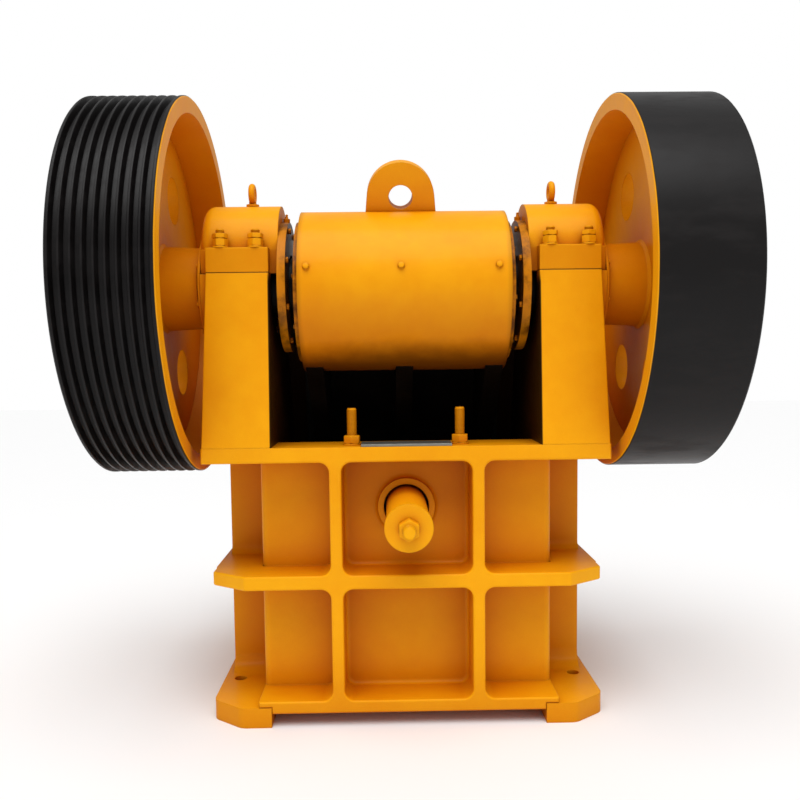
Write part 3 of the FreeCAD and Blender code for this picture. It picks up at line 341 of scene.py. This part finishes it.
def manganese(paint):
    """Cast manganese steel: dull grey, rusty in the valleys, with painted shade deep in the chamber."""
    graph = Graph("cast_manganese_steel")
    skin = graph.noise(80.0, 6.0, 0.62)
    rust = (graph.noise(12.0, 6.0, 0.65) + (1 - graph.openness(0.05)) * 0.4).above(0.66, 0.14)
    color = graph.blend(skin, rgba(paint.steel_dark), rgba(paint.steel))
    color = graph.blend(rust * 0.6, color, rgba(paint.rust))
    # painted shade: the plates go near-black low in the chamber
    deep = 1 - graph.axes()[2].above(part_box("front_wall")[1].z - 120 * MM, 70 * MM)
    color = graph.blend(deep * 0.85, color, rgba(paint.dark_casting_and_shade))
    return graph.finish(color, 0.46 + rust * 0.3, skin + graph.noise(24.0, 3.0) * 0.8, 0.9 * MM,
                        graph.soft_edges(2 * MM), metallic=0.55)


def turned_steel(paint):
    """Turned or rolled steel under a film of oil."""
    graph = Graph("oiled_turned_steel")
    lines = graph.noise(90.0, 3.0, 0.6, (14, 1, 1))
    stain = graph.noise(18.0, 5.0, 0.6).above(0.55, 0.18)
    color = graph.blend(lines * 0.5 + stain * 0.4, rgba(paint.steel), rgba(paint.steel_dark))
    return graph.finish(color, 0.26 + lines * 0.12 + stain * 0.14, lines, 0.15 * MM,
                        graph.soft_edges(1.5 * MM), metallic=0.7)


def greased_steel(paint):
    """Shaft and bearings under old dark grease."""
    graph = Graph("greased_steel")
    film = graph.noise(22.0, 5.0, 0.62, (3, 1, 1))
    color = graph.blend(film.above(0.6, 0.15) * 0.5, rgba(paint.dark_casting_and_shade), rgba(paint.dark_dust))
    return graph.finish(color, 0.30 + film * 0.2, film, 0.6 * MM, graph.soft_edges(1.5 * MM), metallic=0.2,
                        specular_ior_level=0.2)


FINISHES = {
    "yellow_paint": enamel, "black_paint": rim_paint, "black_casting": greasy_casting,
    "manganese_steel": manganese, "machined_steel": turned_steel, "seal_orange": seal_paint,
    "cap_joint": joint_enamel, "head": head_enamel, "greased_steel": greased_steel,
}
SPECIAL_FINISH = {
    **dict.fromkeys(("right_bearing_pedestal", "left_bearing_pedestal",
                     "right_bearing_cap", "left_bearing_cap"), "cap_joint"),
    "jaw_barrel": "head",
    **dict.fromkeys(("eccentric_shaft", "main_bearings", "jaw_bearings"), "greased_steel"),
}
_made = {}


def finish_for(name):
    """The material of a finish, made once."""
    if name not in _made:
        _made[name] = FINISHES[name](bpy.context.scene.crusher_paint)
    return _made[name]


def paint_nodes(*names):
    """Give the model's own parts the finish of their slot."""
    for name in names:
        finish = finish_for(SPECIAL_FINISH.get(name, SLOT_OF[name]))
        for slot in frame["nodes"][name].material_slots:
            slot.material = finish


# ---------------------------------------------------------------- mesh makers

def mesh_object(name, points, faces, smooth=35):
    """A mesh object whose sharp edges are those over an angle in degrees."""
    mesh = bpy.data.meshes.new(name)
    mesh.from_pydata([tuple(point) for point in points], [], faces)
    mesh.validate()
    mesh.shade_smooth()
    mesh.set_sharp_from_angle(angle=math.radians(smooth))
    item = bpy.data.objects.new(name, mesh)
    bpy.context.scene.collection.objects.link(item)
    return item


def skin_rows(rows):
    """Points and faces of a surface through rings of equal length, from the bottom up."""
    count = len(rows[0])
    points = [point for row in rows for point in row]
    faces = [(row * count + k, row * count + (k + 1) % count,
              (row + 1) * count + (k + 1) % count, (row + 1) * count + k)
             for row in range(len(rows) - 1) for k in range(count)]
    faces += [tuple(reversed(range(count))), tuple(range(len(points) - count, len(points)))]
    return points, faces


def turned_rows(profile, steps=32):
    """Rings for a turned shape; profile is (radius, height) from the bottom up."""
    return [[Vector((r * math.cos(math.tau * k / steps), r * math.sin(math.tau * k / steps), h))
             for k in range(steps)] for r, h in profile]


def hexagon_rows(flats, low, high, bevel_low=True, steps=48):
    """Rings for a nut or bolt head with the curved bevels of a turned hexagon."""
    crown = flats * 0.475
    fall = math.tan(math.radians(30))
    turn = [math.tau * k / steps for k in range(steps)]
    reach = [flats / 2 / math.cos((angle + math.pi / 6) % (math.pi / 3) - math.pi / 6) for angle in turn]

    def ring(radii, heights):
        return [Vector((r * math.cos(a), r * math.sin(a), h)) for r, h, a in zip(radii, heights, turn)]

    flat, rows = [crown] * steps, []
    if bevel_low:
        rows += [ring(flat, [low] * steps), ring(reach, [low + (r - crown) * fall for r in reach])]
    else:
        rows += [ring(reach, [low] * steps)]
    rows += [ring(reach, [high - (r - crown) * fall for r in reach]), ring(flat, [high] * steps)]
    return rows


def threaded(radius, low, high, pitch=2.5 * MM, steps=24):
    """Profile of a threaded bar's end, with a bevelled tip."""
    depth, profile = pitch * 0.5, [(radius - pitch * 0.5, low)]
    level = low
    while level + pitch < high - depth:
        profile += [(radius, level + pitch * 0.5), (radius - depth, level + pitch)]
        level += pitch
    return turned_rows(profile + [(radius - depth, high - depth * 0.5), (radius - depth * 1.6, high)], steps)


def joined(*parts):
    """Several closed skins as one list of points and faces."""
    points, faces = [], []
    for part_points, part_faces in parts:
        start = len(points)
        points += part_points
        faces += [tuple(start + index for index in face) for face in part_faces]
    return points, faces


def at_place(part, matrix):
    points, faces = part
    return [matrix @ point for point in points], faces


def washer(radius, low, high):
    edge = min(0.8 * MM, (high - low) / 3)
    return skin_rows(turned_rows([(radius, low), (radius, high - edge), (radius - edge, high)]))


# ---------------------------------------------------------------- geometry nodes

class Tree:
    """A geometry node group with named inputs."""

    def __init__(self, name, inputs):
        self.group = bpy.data.node_groups.new(name, "GeometryNodeTree")
        for label, kind, default in inputs:
            socket = self.group.interface.new_socket(label, in_out="INPUT", socket_type=kind)
            if default is not None:
                socket.default_value = default
        self.group.interface.new_socket("Geometry", in_out="OUTPUT", socket_type="NodeSocketGeometry")
        self.start = self.group.nodes.new("NodeGroupInput")
        self.end = self.group.nodes.new("NodeGroupOutput")

    def node(self, kind, settings=None, sockets=None):
        made = self.group.nodes.new(kind)
        for name, setting in (settings or {}).items():
            setattr(made, name, setting)
        for key, given in (sockets or {}).items():
            if isinstance(given, bpy.types.NodeSocket):
                self.group.links.new(given, made.inputs[key])
            else:
                made.inputs[key].default_value = given
        return made.outputs

    def given(self, label):
        return self.start.outputs[label]


def fastener_ring_tree():
    """Fasteners evenly round the shaft axis on one face, each turned by a seeded random angle."""
    tree = Tree("fastener_ring", [
        ("Fastener", "NodeSocketObject", None), ("Finish", "NodeSocketMaterial", None),
        ("Count", "NodeSocketInt", 8), ("Ring Radius", "NodeSocketFloat", 0.1),
        ("First Angle", "NodeSocketFloat", 0.0), ("Centre", "NodeSocketVector", (0.0, 0.0, 0.0)),
        ("Facing", "NodeSocketVector", (1.0, 0.0, 0.0)), ("Seed", "NodeSocketInt", 7)])
    circle = tree.node("GeometryNodeMeshCircle", {"fill_type": "NONE"}, {
        "Vertices": tree.given("Count"), "Radius": tree.given("Ring Radius")})[0]
    spin = tree.node("FunctionNodeAxisAngleToRotation", None, {
        "Axis": (0.0, 0.0, 1.0), "Angle": tree.given("First Angle")})[0]
    turned = tree.node("GeometryNodeTransform", None, {"Geometry": circle, "Rotation": spin})[0]
    aim = tree.node("FunctionNodeAlignRotationToVector", {"axis": "Z"}, {"Vector": tree.given("Facing")})[0]
    set_ring = tree.node("GeometryNodeTransform", None, {
        "Geometry": turned, "Translation": tree.given("Centre"), "Rotation": aim})[0]
    end_fastener_tree(tree, set_ring, aim)
    return tree.group


def fastener_spot_tree():
    """Fasteners on given points, all facing one way, each turned by a seeded random angle."""
    tree = Tree("fastener_spots", [
        ("Spots", "NodeSocketGeometry", None), ("Fastener", "NodeSocketObject", None),
        ("Finish", "NodeSocketMaterial", None), ("Facing", "NodeSocketVector", (0.0, 0.0, 1.0)),
        ("Seed", "NodeSocketInt", 7)])
    aim = tree.node("FunctionNodeAlignRotationToVector", {"axis": "Z"}, {"Vector": tree.given("Facing")})[0]
    end_fastener_tree(tree, tree.given("Spots"), aim)
    return tree.group


def end_fastener_tree(tree, points, aim):
    """Instance the fastener on the points, then realize and paint it."""
    shape = tree.node("GeometryNodeObjectInfo", None, {"Object": tree.given("Fastener")})["Geometry"]
    angle = tree.node("FunctionNodeRandomValue", {"data_type": "FLOAT"}, {
        2: 0.0, 3: math.pi / 3, "Seed": tree.given("Seed")})[1]
    spin = tree.node("FunctionNodeAxisAngleToRotation", None, {"Axis": (0.0, 0.0, 1.0), "Angle": angle})[0]
    pose = tree.node("FunctionNodeRotateRotation", {"rotation_space": "LOCAL"}, {
        "Rotation": aim, "Rotate By": spin})[0]
    placed = tree.node("GeometryNodeInstanceOnPoints", None, {
        "Points": points, "Instance": shape, "Rotation": pose})[0]
    solid = tree.node("GeometryNodeRealizeInstances", None, {"Geometry": placed})[0]
    painted = tree.node("GeometryNodeSetMaterial", None, {
        "Geometry": solid, "Material": tree.given("Finish")})[0]
    tree.group.links.new(painted, tree.end.inputs[0])


def grown(group, inputs, points=()):
    """Run a tree with its inputs set by socket identifier; gives the plain mesh it makes."""
    base = mesh_object("fastener_base", points, [])
    modifier = base.modifiers.new("fasteners", "NODES")
    modifier.node_group = group
    for socket in group.interface.items_tree:
        if socket.in_out == "INPUT" and socket.name in inputs:
            modifier[socket.identifier] = inputs[socket.name]
    base.update_tag()
    depsgraph = bpy.context.evaluated_depsgraph_get()
    made = bpy.data.meshes.new_from_object(base.evaluated_get(depsgraph), depsgraph=depsgraph)
    base.modifiers.remove(modifier)
    bpy.data.objects.remove(base)
    return made


def merged(name, meshes, material, body):
    """One object on one body from several plain meshes."""
    points, faces = [], []
    for mesh in meshes:
        start = len(points)
        points += [vertex.co.copy() for vertex in mesh.vertices]
        faces += [tuple(start + index for index in polygon.vertices) for polygon in mesh.polygons]
        bpy.data.meshes.remove(mesh)
    if not faces:
        raise RuntimeError(f"{name} came out empty")
    piece = mesh_object(name, points, faces)
    piece.data.materials.append(material)
    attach(piece, body)
    return piece


def template(part):
    return mesh_object("fastener_template", *part)


def ring_of(shape, finish, count, radius, first, centre, facing, seed):
    """The fastener evenly round a centre, as one plain mesh; first is the first one's angle in degrees."""
    return grown(ring_group(), {
        "Fastener": shape, "Finish": finish, "Count": count, "Ring Radius": radius,
        "First Angle": math.radians(first), "Centre": tuple(centre), "Facing": facing, "Seed": seed})


def on_spots(shape, finish, facing, seed, spots):
    """The fastener on each of some points, as one plain mesh."""
    return grown(spot_group(), {"Fastener": shape, "Finish": finish, "Facing": facing, "Seed": seed}, spots)


def ring_group():
    return bpy.data.node_groups.get("fastener_ring") or fastener_ring_tree()


def spot_group():
    return bpy.data.node_groups.get("fastener_spots") or fastener_spot_tree()


# ---------------------------------------------------------------- settings

def color_property(name, description, default):
    return FloatVectorProperty(name=name, description=description, subtype="COLOR", size=3, min=0, max=1,
                               default=default)


def length_property(name, description, millimetres):
    return FloatProperty(name=name, description=description, subtype="DISTANCE", unit="LENGTH",
                         default=millimetres * MM, min=0)


class CrusherPaint(bpy.types.PropertyGroup):
    """Colours and surface of the crusher's finishes."""
    enamel: color_property("Enamel", "Yellow enamel on open faces", (0.93, 0.415, 0.004))
    enamel_warm: color_property("Warm Enamel", "Its thinner, warmer patches", (0.86, 0.335, 0.002))
    # painted shade on the enamel: corners, bays, the cap ledges and the jaw's head below
    enamel_shade: color_property("Deep Enamel", "Enamel in corners and bays", (0.50, 0.09, 0.0))
    # dark grime in joints, also painted shade in tight creases and under the jaw's head
    grime_and_shade: color_property("Grime", "Dirt in joints and corners", (0.05, 0.012, 0.001))
    black: color_property("Rim Black", "Paint round the rims", (0.004, 0.0032, 0.0032))
    black_worn: color_property("Worn Black", "The same paint where it is scuffed", (0.012, 0.010, 0.0098))
    seal: color_property("Seal Orange", "Thin paint on the bearing seals", (0.66, 0.235, 0.003))
    seal_dark: color_property("Seal Shade", "The same where it is rubbed", (0.40, 0.115, 0.001))
    # near-black unpainted casting, also painted shade inside the frame, on the pedestals' inner faces and deep in
    # the chamber
    dark_casting_and_shade: color_property("Dark Casting", "Unpainted castings inside", (0.0032, 0.0018, 0.0012))
    dark_dust: color_property("Casting Dust", "Dust on those castings", (0.011, 0.0065, 0.004))
    steel: color_property("Steel", "Clean steel", (0.30, 0.30, 0.26))
    steel_dark: color_property("Dark Steel", "Stained steel", (0.12, 0.12, 0.10))
    rust: color_property("Rust", "Rust on the jaw plates", (0.085, 0.034, 0.015))
    casting_skin: FloatProperty(name="Casting Skin", description="Height of the cast surface's unevenness",
                                default=0.6, min=0, max=3)
    edge_softness: length_property("Edge Softness", "Rounding of the castings' edges", 3.5)


class CrusherFasteners(bpy.types.PropertyGroup):
    """Sizes of nuts, bolts and studs."""
    cap_nut: length_property("Cap Nut", "Across the flats of a cap stud's nuts", 27)
    cover_bolt: length_property("Cover Bolt", "Across the flats of a cover bolt's head", 10)
    seal_bolt: length_property("Seal Bolt", "Across the flats of a seal ring's bolt", 8)
    end_bolt: length_property("End Bolt", "Across the flats of a shaft end bolt", 24)
    stud_nut: length_property("Stud Nut", "Across the flats of an adjusting stud's nut", 30)
    rod_nut: length_property("Rod Nut", "Across the flats of the tension rod's nut", 36)
    plug: length_property("Plug", "Across the flats of a plug on the jaw's head", 11)
    cover_bolts: IntProperty(name="Cover Bolts", description="Bolts on each bearing cover", default=8, min=3)
    seal_bolts: IntProperty(name="Seal Bolts", description="Bolts on each seal ring", default=8, min=3)
    seed: IntProperty(name="Seed", description="Fixes how far each nut is turned", default=11)


class CrusherStudio(bpy.types.PropertyGroup):
    """Floor, lights and camera."""
    floor: color_property("Floor", "Plain pale floor", (0.95, 0.95, 0.95))
    sky: FloatProperty(name="Sky", description="Strength of the even light all round", default=0.5, min=0)
    ceiling: FloatProperty(name="Ceiling", description="Strength of the soft light from high up",
                           default=1.95, min=0)
    key: FloatProperty(name="Key Light", description="Power of the large light overhead", subtype="POWER",
                       unit="POWER", default=12, min=0)
    fill: FloatProperty(name="Fill Light", description="Power of the light beside the camera",
                        subtype="POWER", unit="POWER", default=3, min=0)
    lens: FloatProperty(name="Lens", description="Focal length in millimetres on a 36 mm sensor",
                        default=39.27, min=10)
    eye: FloatVectorProperty(name="Camera Place", description="Where the camera stands", subtype="XYZ",
                             unit="LENGTH", default=(-0.0392, -2.0527, 0.7205))
    aim: FloatVectorProperty(name="Camera Aim", description="Yaw, pitch and roll", subtype="EULER",
                             unit="ROTATION", default=(0.016, -0.077, -0.012))


# ---------------------------------------------------------------- operators

class CRUSHER_OT_castings(bpy.types.Operator):
    """Paint the frame castings, pedestals, caps and covers"""
    bl_idname = "crusher.castings"
    bl_label = "Castings"

    def execute(self, context):
        paint_nodes("rear_wall", "front_wall", "right_side_wall", "left_side_wall", "right_bearing_pedestal",
                    "left_bearing_pedestal", "right_bearing_cap", "left_bearing_cap", "inner_bearing_covers",
                    "outer_bearing_covers", "main_bearings", "cap_eyebolts")
        return {"FINISHED"}


class CRUSHER_OT_wheels(bpy.types.Operator):
    """Paint the two wheels, the shaft and its end plates"""
    bl_idname = "crusher.wheels"
    bl_label = "Wheels and Shaft"

    def execute(self, context):
        paint_nodes("flywheel_rim", "flywheel_web", "sheave_rim", "sheave_web", "eccentric_shaft",
                    "shaft_end_plates")
        return {"FINISHED"}


class CRUSHER_OT_jaws(bpy.types.Operator):
    """Finish the swing jaw, the fixed jaw and the toggle"""
    bl_idname = "crusher.jaws"
    bl_label = "Jaws"

    def execute(self, context):
        paint_nodes("jaw_barrel", "barrel_seal_rings", "jaw_bearings", "jaw_body", "jaw_ribs", "lifting_lug",
                    "swing_jaw_plate", "jaw_toggle_seat", "rod_bracket", "fixed_jaw_plate",
                    "right_cheek_plate", "left_cheek_plate", "toggle_block", "toggle_plate", "shim_bar",
                    "spring_tube", "rod_washer")
        return {"FINISHED"}


class CRUSHER_OT_cap_nuts(bpy.types.Operator):
    """Add the double nuts on the studs that hold the bearing caps"""
    bl_idname = "crusher.cap_nuts"
    bl_label = "Cap Nuts"
    ledge_rise: length_property("Ledge Height", "Top of a cap's ledge over the cap joint", 48)

    def execute(self, context):
        sizes = context.scene.crusher_fasteners
        flats = sizes.cap_nut
        shape = template(joined(
            washer(flats * 0.62, 0, 3 * MM),
            skin_rows(hexagon_rows(flats, 3 * MM, 18 * MM)),
            skin_rows(hexagon_rows(flats, 18.4 * MM, 28 * MM)),
            skin_rows(threaded(flats / 3, 27 * MM, 36 * MM))))
        spots = []
        for side, offsets in CAP_STUDS.items():
            low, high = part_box(f"{side}_bearing_pedestal")
            ledge = high.z + self.ledge_rise
            inner = low.x if side == "right" else high.x
            outward = 1 if side == "right" else -1
            spots += [(inner + outward * offset, SHAFT.y + end * CAP_STUD_REACH, ledge)
                      for offset in offsets for end in (-1, 1)]
        finish = finish_for("yellow_paint")
        made = on_spots(shape, finish, UP, sizes.seed, spots)
        bpy.data.objects.remove(shape)
        merged("cap_stud_nuts", [made], finish, "frame")
        return {"FINISHED"}


class CRUSHER_OT_cover_bolts(bpy.types.Operator):
    """Add the rings of small bolts on the inner and outer bearing covers"""
    bl_idname = "crusher.cover_bolts"
    bl_label = "Cover Bolts"

    def execute(self, context):
        sizes = context.scene.crusher_fasteners
        flats = sizes.cover_bolt
        shape = template(skin_rows(hexagon_rows(flats, 0, 5 * MM, bevel_low=False)))
        finish = finish_for("yellow_paint")
        inner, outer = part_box("inner_bearing_covers")[1].x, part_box("outer_bearing_covers")[1].x
        inner_face = inner - COVER_THICK
        half_step = 22.5
        meshes = []
        for side in (1, -1):
            meshes.append(ring_of(shape, finish, sizes.cover_bolts, INNER_BOLT_CIRCLE, half_step,
                                  (side * inner_face, SHAFT.y, SHAFT.z), (-side, 0.0, 0.0), sizes.seed))
            meshes.append(ring_of(shape, finish, sizes.cover_bolts, OUTER_BOLT_CIRCLE, half_step,
                                  (side * outer, SHAFT.y, SHAFT.z), (side, 0.0, 0.0), sizes.seed + 1))
        bpy.data.objects.remove(shape)
        merged("bearing_cover_bolts", meshes, finish, "frame")
        return {"FINISHED"}


class CRUSHER_OT_cover_nipples(bpy.types.Operator):
    """Add the grease nipple on top of each inner bearing cover"""
    bl_idname = "crusher.cover_nipples"
    bl_label = "Grease Nipples"

    def execute(self, context):
        sizes = context.scene.crusher_fasteners
        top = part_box("inner_bearing_covers")[1]
        boss = sizes.cover_bolt * 1.2
        stem, neck, tip = boss * 0.26, boss * 0.18, boss * 0.12
        shape = template(joined(
            skin_rows(hexagon_rows(boss, -2 * MM, 9 * MM)),
            skin_rows(turned_rows([(stem, 8 * MM), (stem, 13 * MM), (neck, 14 * MM), (stem, 16 * MM),
                                   (tip, 18 * MM)]))))
        finish = finish_for("yellow_paint")
        spots = [(side * (top.x - COVER_THICK / 2), SHAFT.y, top.z) for side in (1, -1)]
        made = on_spots(shape, finish, UP, sizes.seed, spots)
        bpy.data.objects.remove(shape)
        merged("cover_grease_nipples", [made], finish, "frame")
        return {"FINISHED"}


class CRUSHER_OT_seal_bolts(bpy.types.Operator):
    """Add the rings of small bolts on the seal rings of the jaw's head"""
    bl_idname = "crusher.seal_bolts"
    bl_label = "Seal Bolts"

    def execute(self, context):
        sizes = context.scene.crusher_fasteners
        shape = template(skin_rows(hexagon_rows(sizes.seal_bolt, 0, 4 * MM, bevel_low=False)))
        finish = finish_for("seal_orange")
        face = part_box("barrel_seal_rings")[1].x
        meshes = [ring_of(shape, finish, sizes.seal_bolts, SEAL_BOLT_CIRCLE, 10,
                          (side * face, JAW_PIN.y, JAW_PIN.z), (side, 0.0, 0.0), sizes.seed)
                  for side in (1, -1)]
        bpy.data.objects.remove(shape)
        merged("seal_ring_bolts", meshes, finish, "swing_jaw")
        return {"FINISHED"}


class CRUSHER_OT_end_bolts(bpy.types.Operator):
    """Add the bolts that hold the plates on the shaft's ends"""
    bl_idname = "crusher.end_bolts"
    bl_label = "Shaft End Bolts"

    def execute(self, context):
        sizes = context.scene.crusher_fasteners
        face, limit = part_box("shaft_end_plates")[1].x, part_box("flywheel_rim")[1].x
        height = min(9 * MM, limit - face - 0.5 * MM)
        shape = template(skin_rows(hexagon_rows(sizes.end_bolt, 0, height, bevel_low=False)))
        finish = finish_for("yellow_paint")
        meshes = [ring_of(shape, finish, 3, END_BOLT_CIRCLE, 90, (side * face, SHAFT.y, SHAFT.z),
                          (side, 0.0, 0.0), sizes.seed) for side in (1, -1)]
        bpy.data.objects.remove(shape)
        merged("shaft_end_bolts", meshes, finish, "rotor")
        return {"FINISHED"}


class CRUSHER_OT_adjusting_studs(bpy.types.Operator):
    """Make the threaded studs and nuts that clamp the shims"""
    bl_idname = "crusher.adjusting_studs"
    bl_label = "Adjusting Studs"

    def execute(self, context):
        sizes = context.scene.crusher_fasteners
        low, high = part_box("adjusting_studs")
        flats = sizes.stud_nut
        shape = template(joined(
            washer(flats * 0.60, 0, 3 * MM),
            skin_rows(hexagon_rows(flats, 3 * MM, 19 * MM)),
            skin_rows(threaded(STUD_RADIUS, 18 * MM, high.z - low.z))))
        middle = (low + high) / 2
        nut_corner = flats / math.sqrt(3)
        offset = (high.x - low.x) / 2 - nut_corner
        spots = [(middle.x + side * offset, middle.y, low.z) for side in (1, -1)]
        finish = finish_for("yellow_paint")
        made = on_spots(shape, finish, UP, sizes.seed + 3, spots)
        bpy.data.objects.remove(shape)
        piece = merged("threaded_adjusting_studs", [made], finish, "frame")
        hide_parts("adjusting_studs")
        return {"FINISHED"}


class CRUSHER_OT_tension_rod(bpy.types.Operator):
    """Make the tension rod with its threaded end and its nut"""
    bl_idname = "crusher.tension_rod"
    bl_label = "Tension Rod"

    def execute(self, context):
        sizes = context.scene.crusher_fasteners
        low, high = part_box("tension_rod")
        nut_low, nut_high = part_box("rod_nut")
        radius = (high.x - low.x) / 2
        sine, cosine = math.sin(ROD_LEAN), math.cos(ROD_LEAN)
        rear = Vector(((low.x + high.x) / 2, low.y + radius * sine, low.z + radius * cosine))
        along = Vector((0, cosine, sine))
        length = (high.y - low.y - 2 * radius * sine) / cosine
        turn = Matrix.Translation(rear) @ (-along).to_track_quat("Z", "Y").to_matrix().to_4x4()
        nut_middle = (rear.y - (nut_low.y + nut_high.y) / 2) / cosine
        half_nut = 10 * MM
        rod = joined(
            skin_rows(threaded(radius, nut_middle, 0)),
            skin_rows(turned_rows([(radius, -length), (radius, nut_middle + 5 * MM)])),
            skin_rows(hexagon_rows(sizes.rod_nut, nut_middle - half_nut, nut_middle + half_nut)))
        points, faces = at_place(rod, turn)
        piece = mesh_object("threaded_tension_rod", points, faces)
        piece.data.materials.append(finish_for("yellow_paint"))
        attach(piece, "frame")
        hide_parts("tension_rod", "rod_nut")
        return {"FINISHED"}


class CRUSHER_OT_plugs(bpy.types.Operator):
    """Add the row of small plugs on the rear of the jaw's head"""
    bl_idname = "crusher.plugs"
    bl_label = "Head Plugs"
    height: length_property("Plug Height", "Height of the row of plugs", 900)

    def execute(self, context):
        sizes = context.scene.crusher_fasteners
        low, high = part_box("jaw_barrel")
        radius = (high.z - low.z) / 2
        rise = math.asin((self.height - JAW_PIN.z) / radius)
        facing = Vector((0, -math.cos(rise), math.sin(rise)))
        place = JAW_PIN + facing * (radius - 0.5 * MM)
        shape = template(joined(
            washer(sizes.plug * 0.66, 0, 2 * MM),
            skin_rows(hexagon_rows(sizes.plug, 2 * MM, 7 * MM))))
        finish = finish_for("yellow_paint")
        spots = [(x, place.y, place.z) for x in PLUG_PLACES]
        made = on_spots(shape, finish, tuple(facing), sizes.seed, spots)
        bpy.data.objects.remove(shape)
        merged("head_plugs", [made], finish, "swing_jaw")
        return {"FINISHED"}


class CRUSHER_OT_studio(bpy.types.Operator):
    """Set up the floor, the lights and the camera"""
    bl_idname = "crusher.studio"
    bl_label = "Studio"

    def execute(self, context):
        studio = context.scene.crusher_studio
        self.floor(studio)
        self.lights(context.scene, studio)
        self.camera(context.scene, studio)
        return {"FINISHED"}

    def floor(self, studio):
        half = FLOOR_HALF
        corners = [(-half, -half, 0), (half, -half, 0), (half, half, 0), (-half, half, 0)]
        floor = mesh_object("floor", corners, [(0, 1, 2, 3)])
        graph = Graph("pale_floor")
        floor.data.materials.append(graph.finish(rgba(studio.floor), 0.75))

    def lights(self, scene, studio):
        world = bpy.data.worlds.new("even_studio")
        world.use_nodes = True
        nodes, links = world.node_tree.nodes, world.node_tree.links
        lit, seen = nodes["Background"], nodes.new("ShaderNodeBackground")
        for shade, strength in ((lit, studio.sky), (seen, 1.0)):
            shade.inputs["Color"].default_value = (1, 1, 1, 1)
            shade.inputs["Strength"].default_value = strength
        choose = nodes.new("ShaderNodeMixShader")
        links.new(nodes.new("ShaderNodeLightPath").outputs["Is Camera Ray"], choose.inputs[0])
        links.new(lit.outputs[0], choose.inputs[1])
        links.new(seen.outputs[0], choose.inputs[2])
        links.new(choose.outputs[0], nodes["World Output"].inputs[0])
        scene.world = world
        ceiling = bpy.data.lights.new("ceiling", "SUN")
        ceiling.energy, ceiling.angle = studio.ceiling, CEILING_SPREAD
        high = bpy.data.objects.new("ceiling", ceiling)
        high.rotation_euler = CEILING_TURN
        scene.collection.objects.link(high)
        for name, power, size, place in (
                ("key_light", studio.key, 2.6, (-0.4, -1.6, 3.4)),
                ("fill_light", studio.fill, 2.2, (1.8, -2.6, 1.6))):
            light = bpy.data.lights.new(name, "AREA")
            light.energy, light.size = power, size
            lamp = bpy.data.objects.new(name, light)
            lamp.location = place
            aim = LAMPS_AIM - Vector(place)
            lamp.rotation_euler = aim.to_track_quat("-Z", "Y").to_euler()
            scene.collection.objects.link(lamp)

    def camera(self, scene, studio):
        lens = bpy.data.cameras.new("camera")
        lens.lens, lens.sensor_width = studio.lens, 36
        lens.shift_y = LENS_SHIFT
        yaw, pitch, roll = studio.aim
        forward = Vector((math.sin(yaw) * math.cos(pitch), math.cos(yaw) * math.cos(pitch), math.sin(pitch)))
        right = Vector((math.cos(yaw), -math.sin(yaw), 0))
        up = right.cross(forward)
        side = right * math.cos(roll) + up * math.sin(roll)
        top = up * math.cos(roll) - right * math.sin(roll)
        camera = bpy.data.objects.new("camera", lens)
        turned = Matrix((side, top, -forward)).transposed().to_4x4()
        camera.matrix_world = Matrix.Translation(studio.eye) @ turned
        scene.collection.objects.link(camera)
        scene.camera = camera
        scene.view_settings.view_transform = "Standard"


class CRUSHER_PT_panel(bpy.types.Panel):
    """Steps and settings of the jaw crusher"""
    bl_idname = "CRUSHER_PT_panel"
    bl_label = "Jaw Crusher"
    bl_space_type = "VIEW_3D"
    bl_region_type = "UI"
    bl_category = "Crusher"

    def draw(self, context):
        for step in STEPS:
            self.layout.operator(step.bl_idname)
        for group in GROUPS:
            settings = getattr(context.scene, group)
            box = self.layout.box()
            for name in settings.__annotations__:
                box.prop(settings, name)


STEPS = (
    CRUSHER_OT_castings, CRUSHER_OT_wheels, CRUSHER_OT_jaws, CRUSHER_OT_cap_nuts, CRUSHER_OT_cover_bolts,
    CRUSHER_OT_cover_nipples, CRUSHER_OT_seal_bolts, CRUSHER_OT_end_bolts, CRUSHER_OT_adjusting_studs,
    CRUSHER_OT_tension_rod, CRUSHER_OT_plugs, CRUSHER_OT_studio)
GROUPS = {
    "crusher_paint": CrusherPaint,
    "crusher_fasteners": CrusherFasteners,
    "crusher_studio": CrusherStudio,
}


def register():
    for item in (*GROUPS.values(), *STEPS, CRUSHER_PT_panel):
        bpy.utils.register_class(item)
    for name, group in GROUPS.items():
        setattr(bpy.types.Scene, name, PointerProperty(type=group))


def unregister():
    for name in GROUPS:
        delattr(bpy.types.Scene, name)
    for item in reversed((*GROUPS.values(), *STEPS, CRUSHER_PT_panel)):
        bpy.utils.unregister_class(item)


def main():
    """Register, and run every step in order."""
    register()
    for step in STEPS:
        section, name = step.bl_idname.split(".")
        getattr(getattr(bpy.ops, section), name)()


if __name__ == "__main__":
    main()
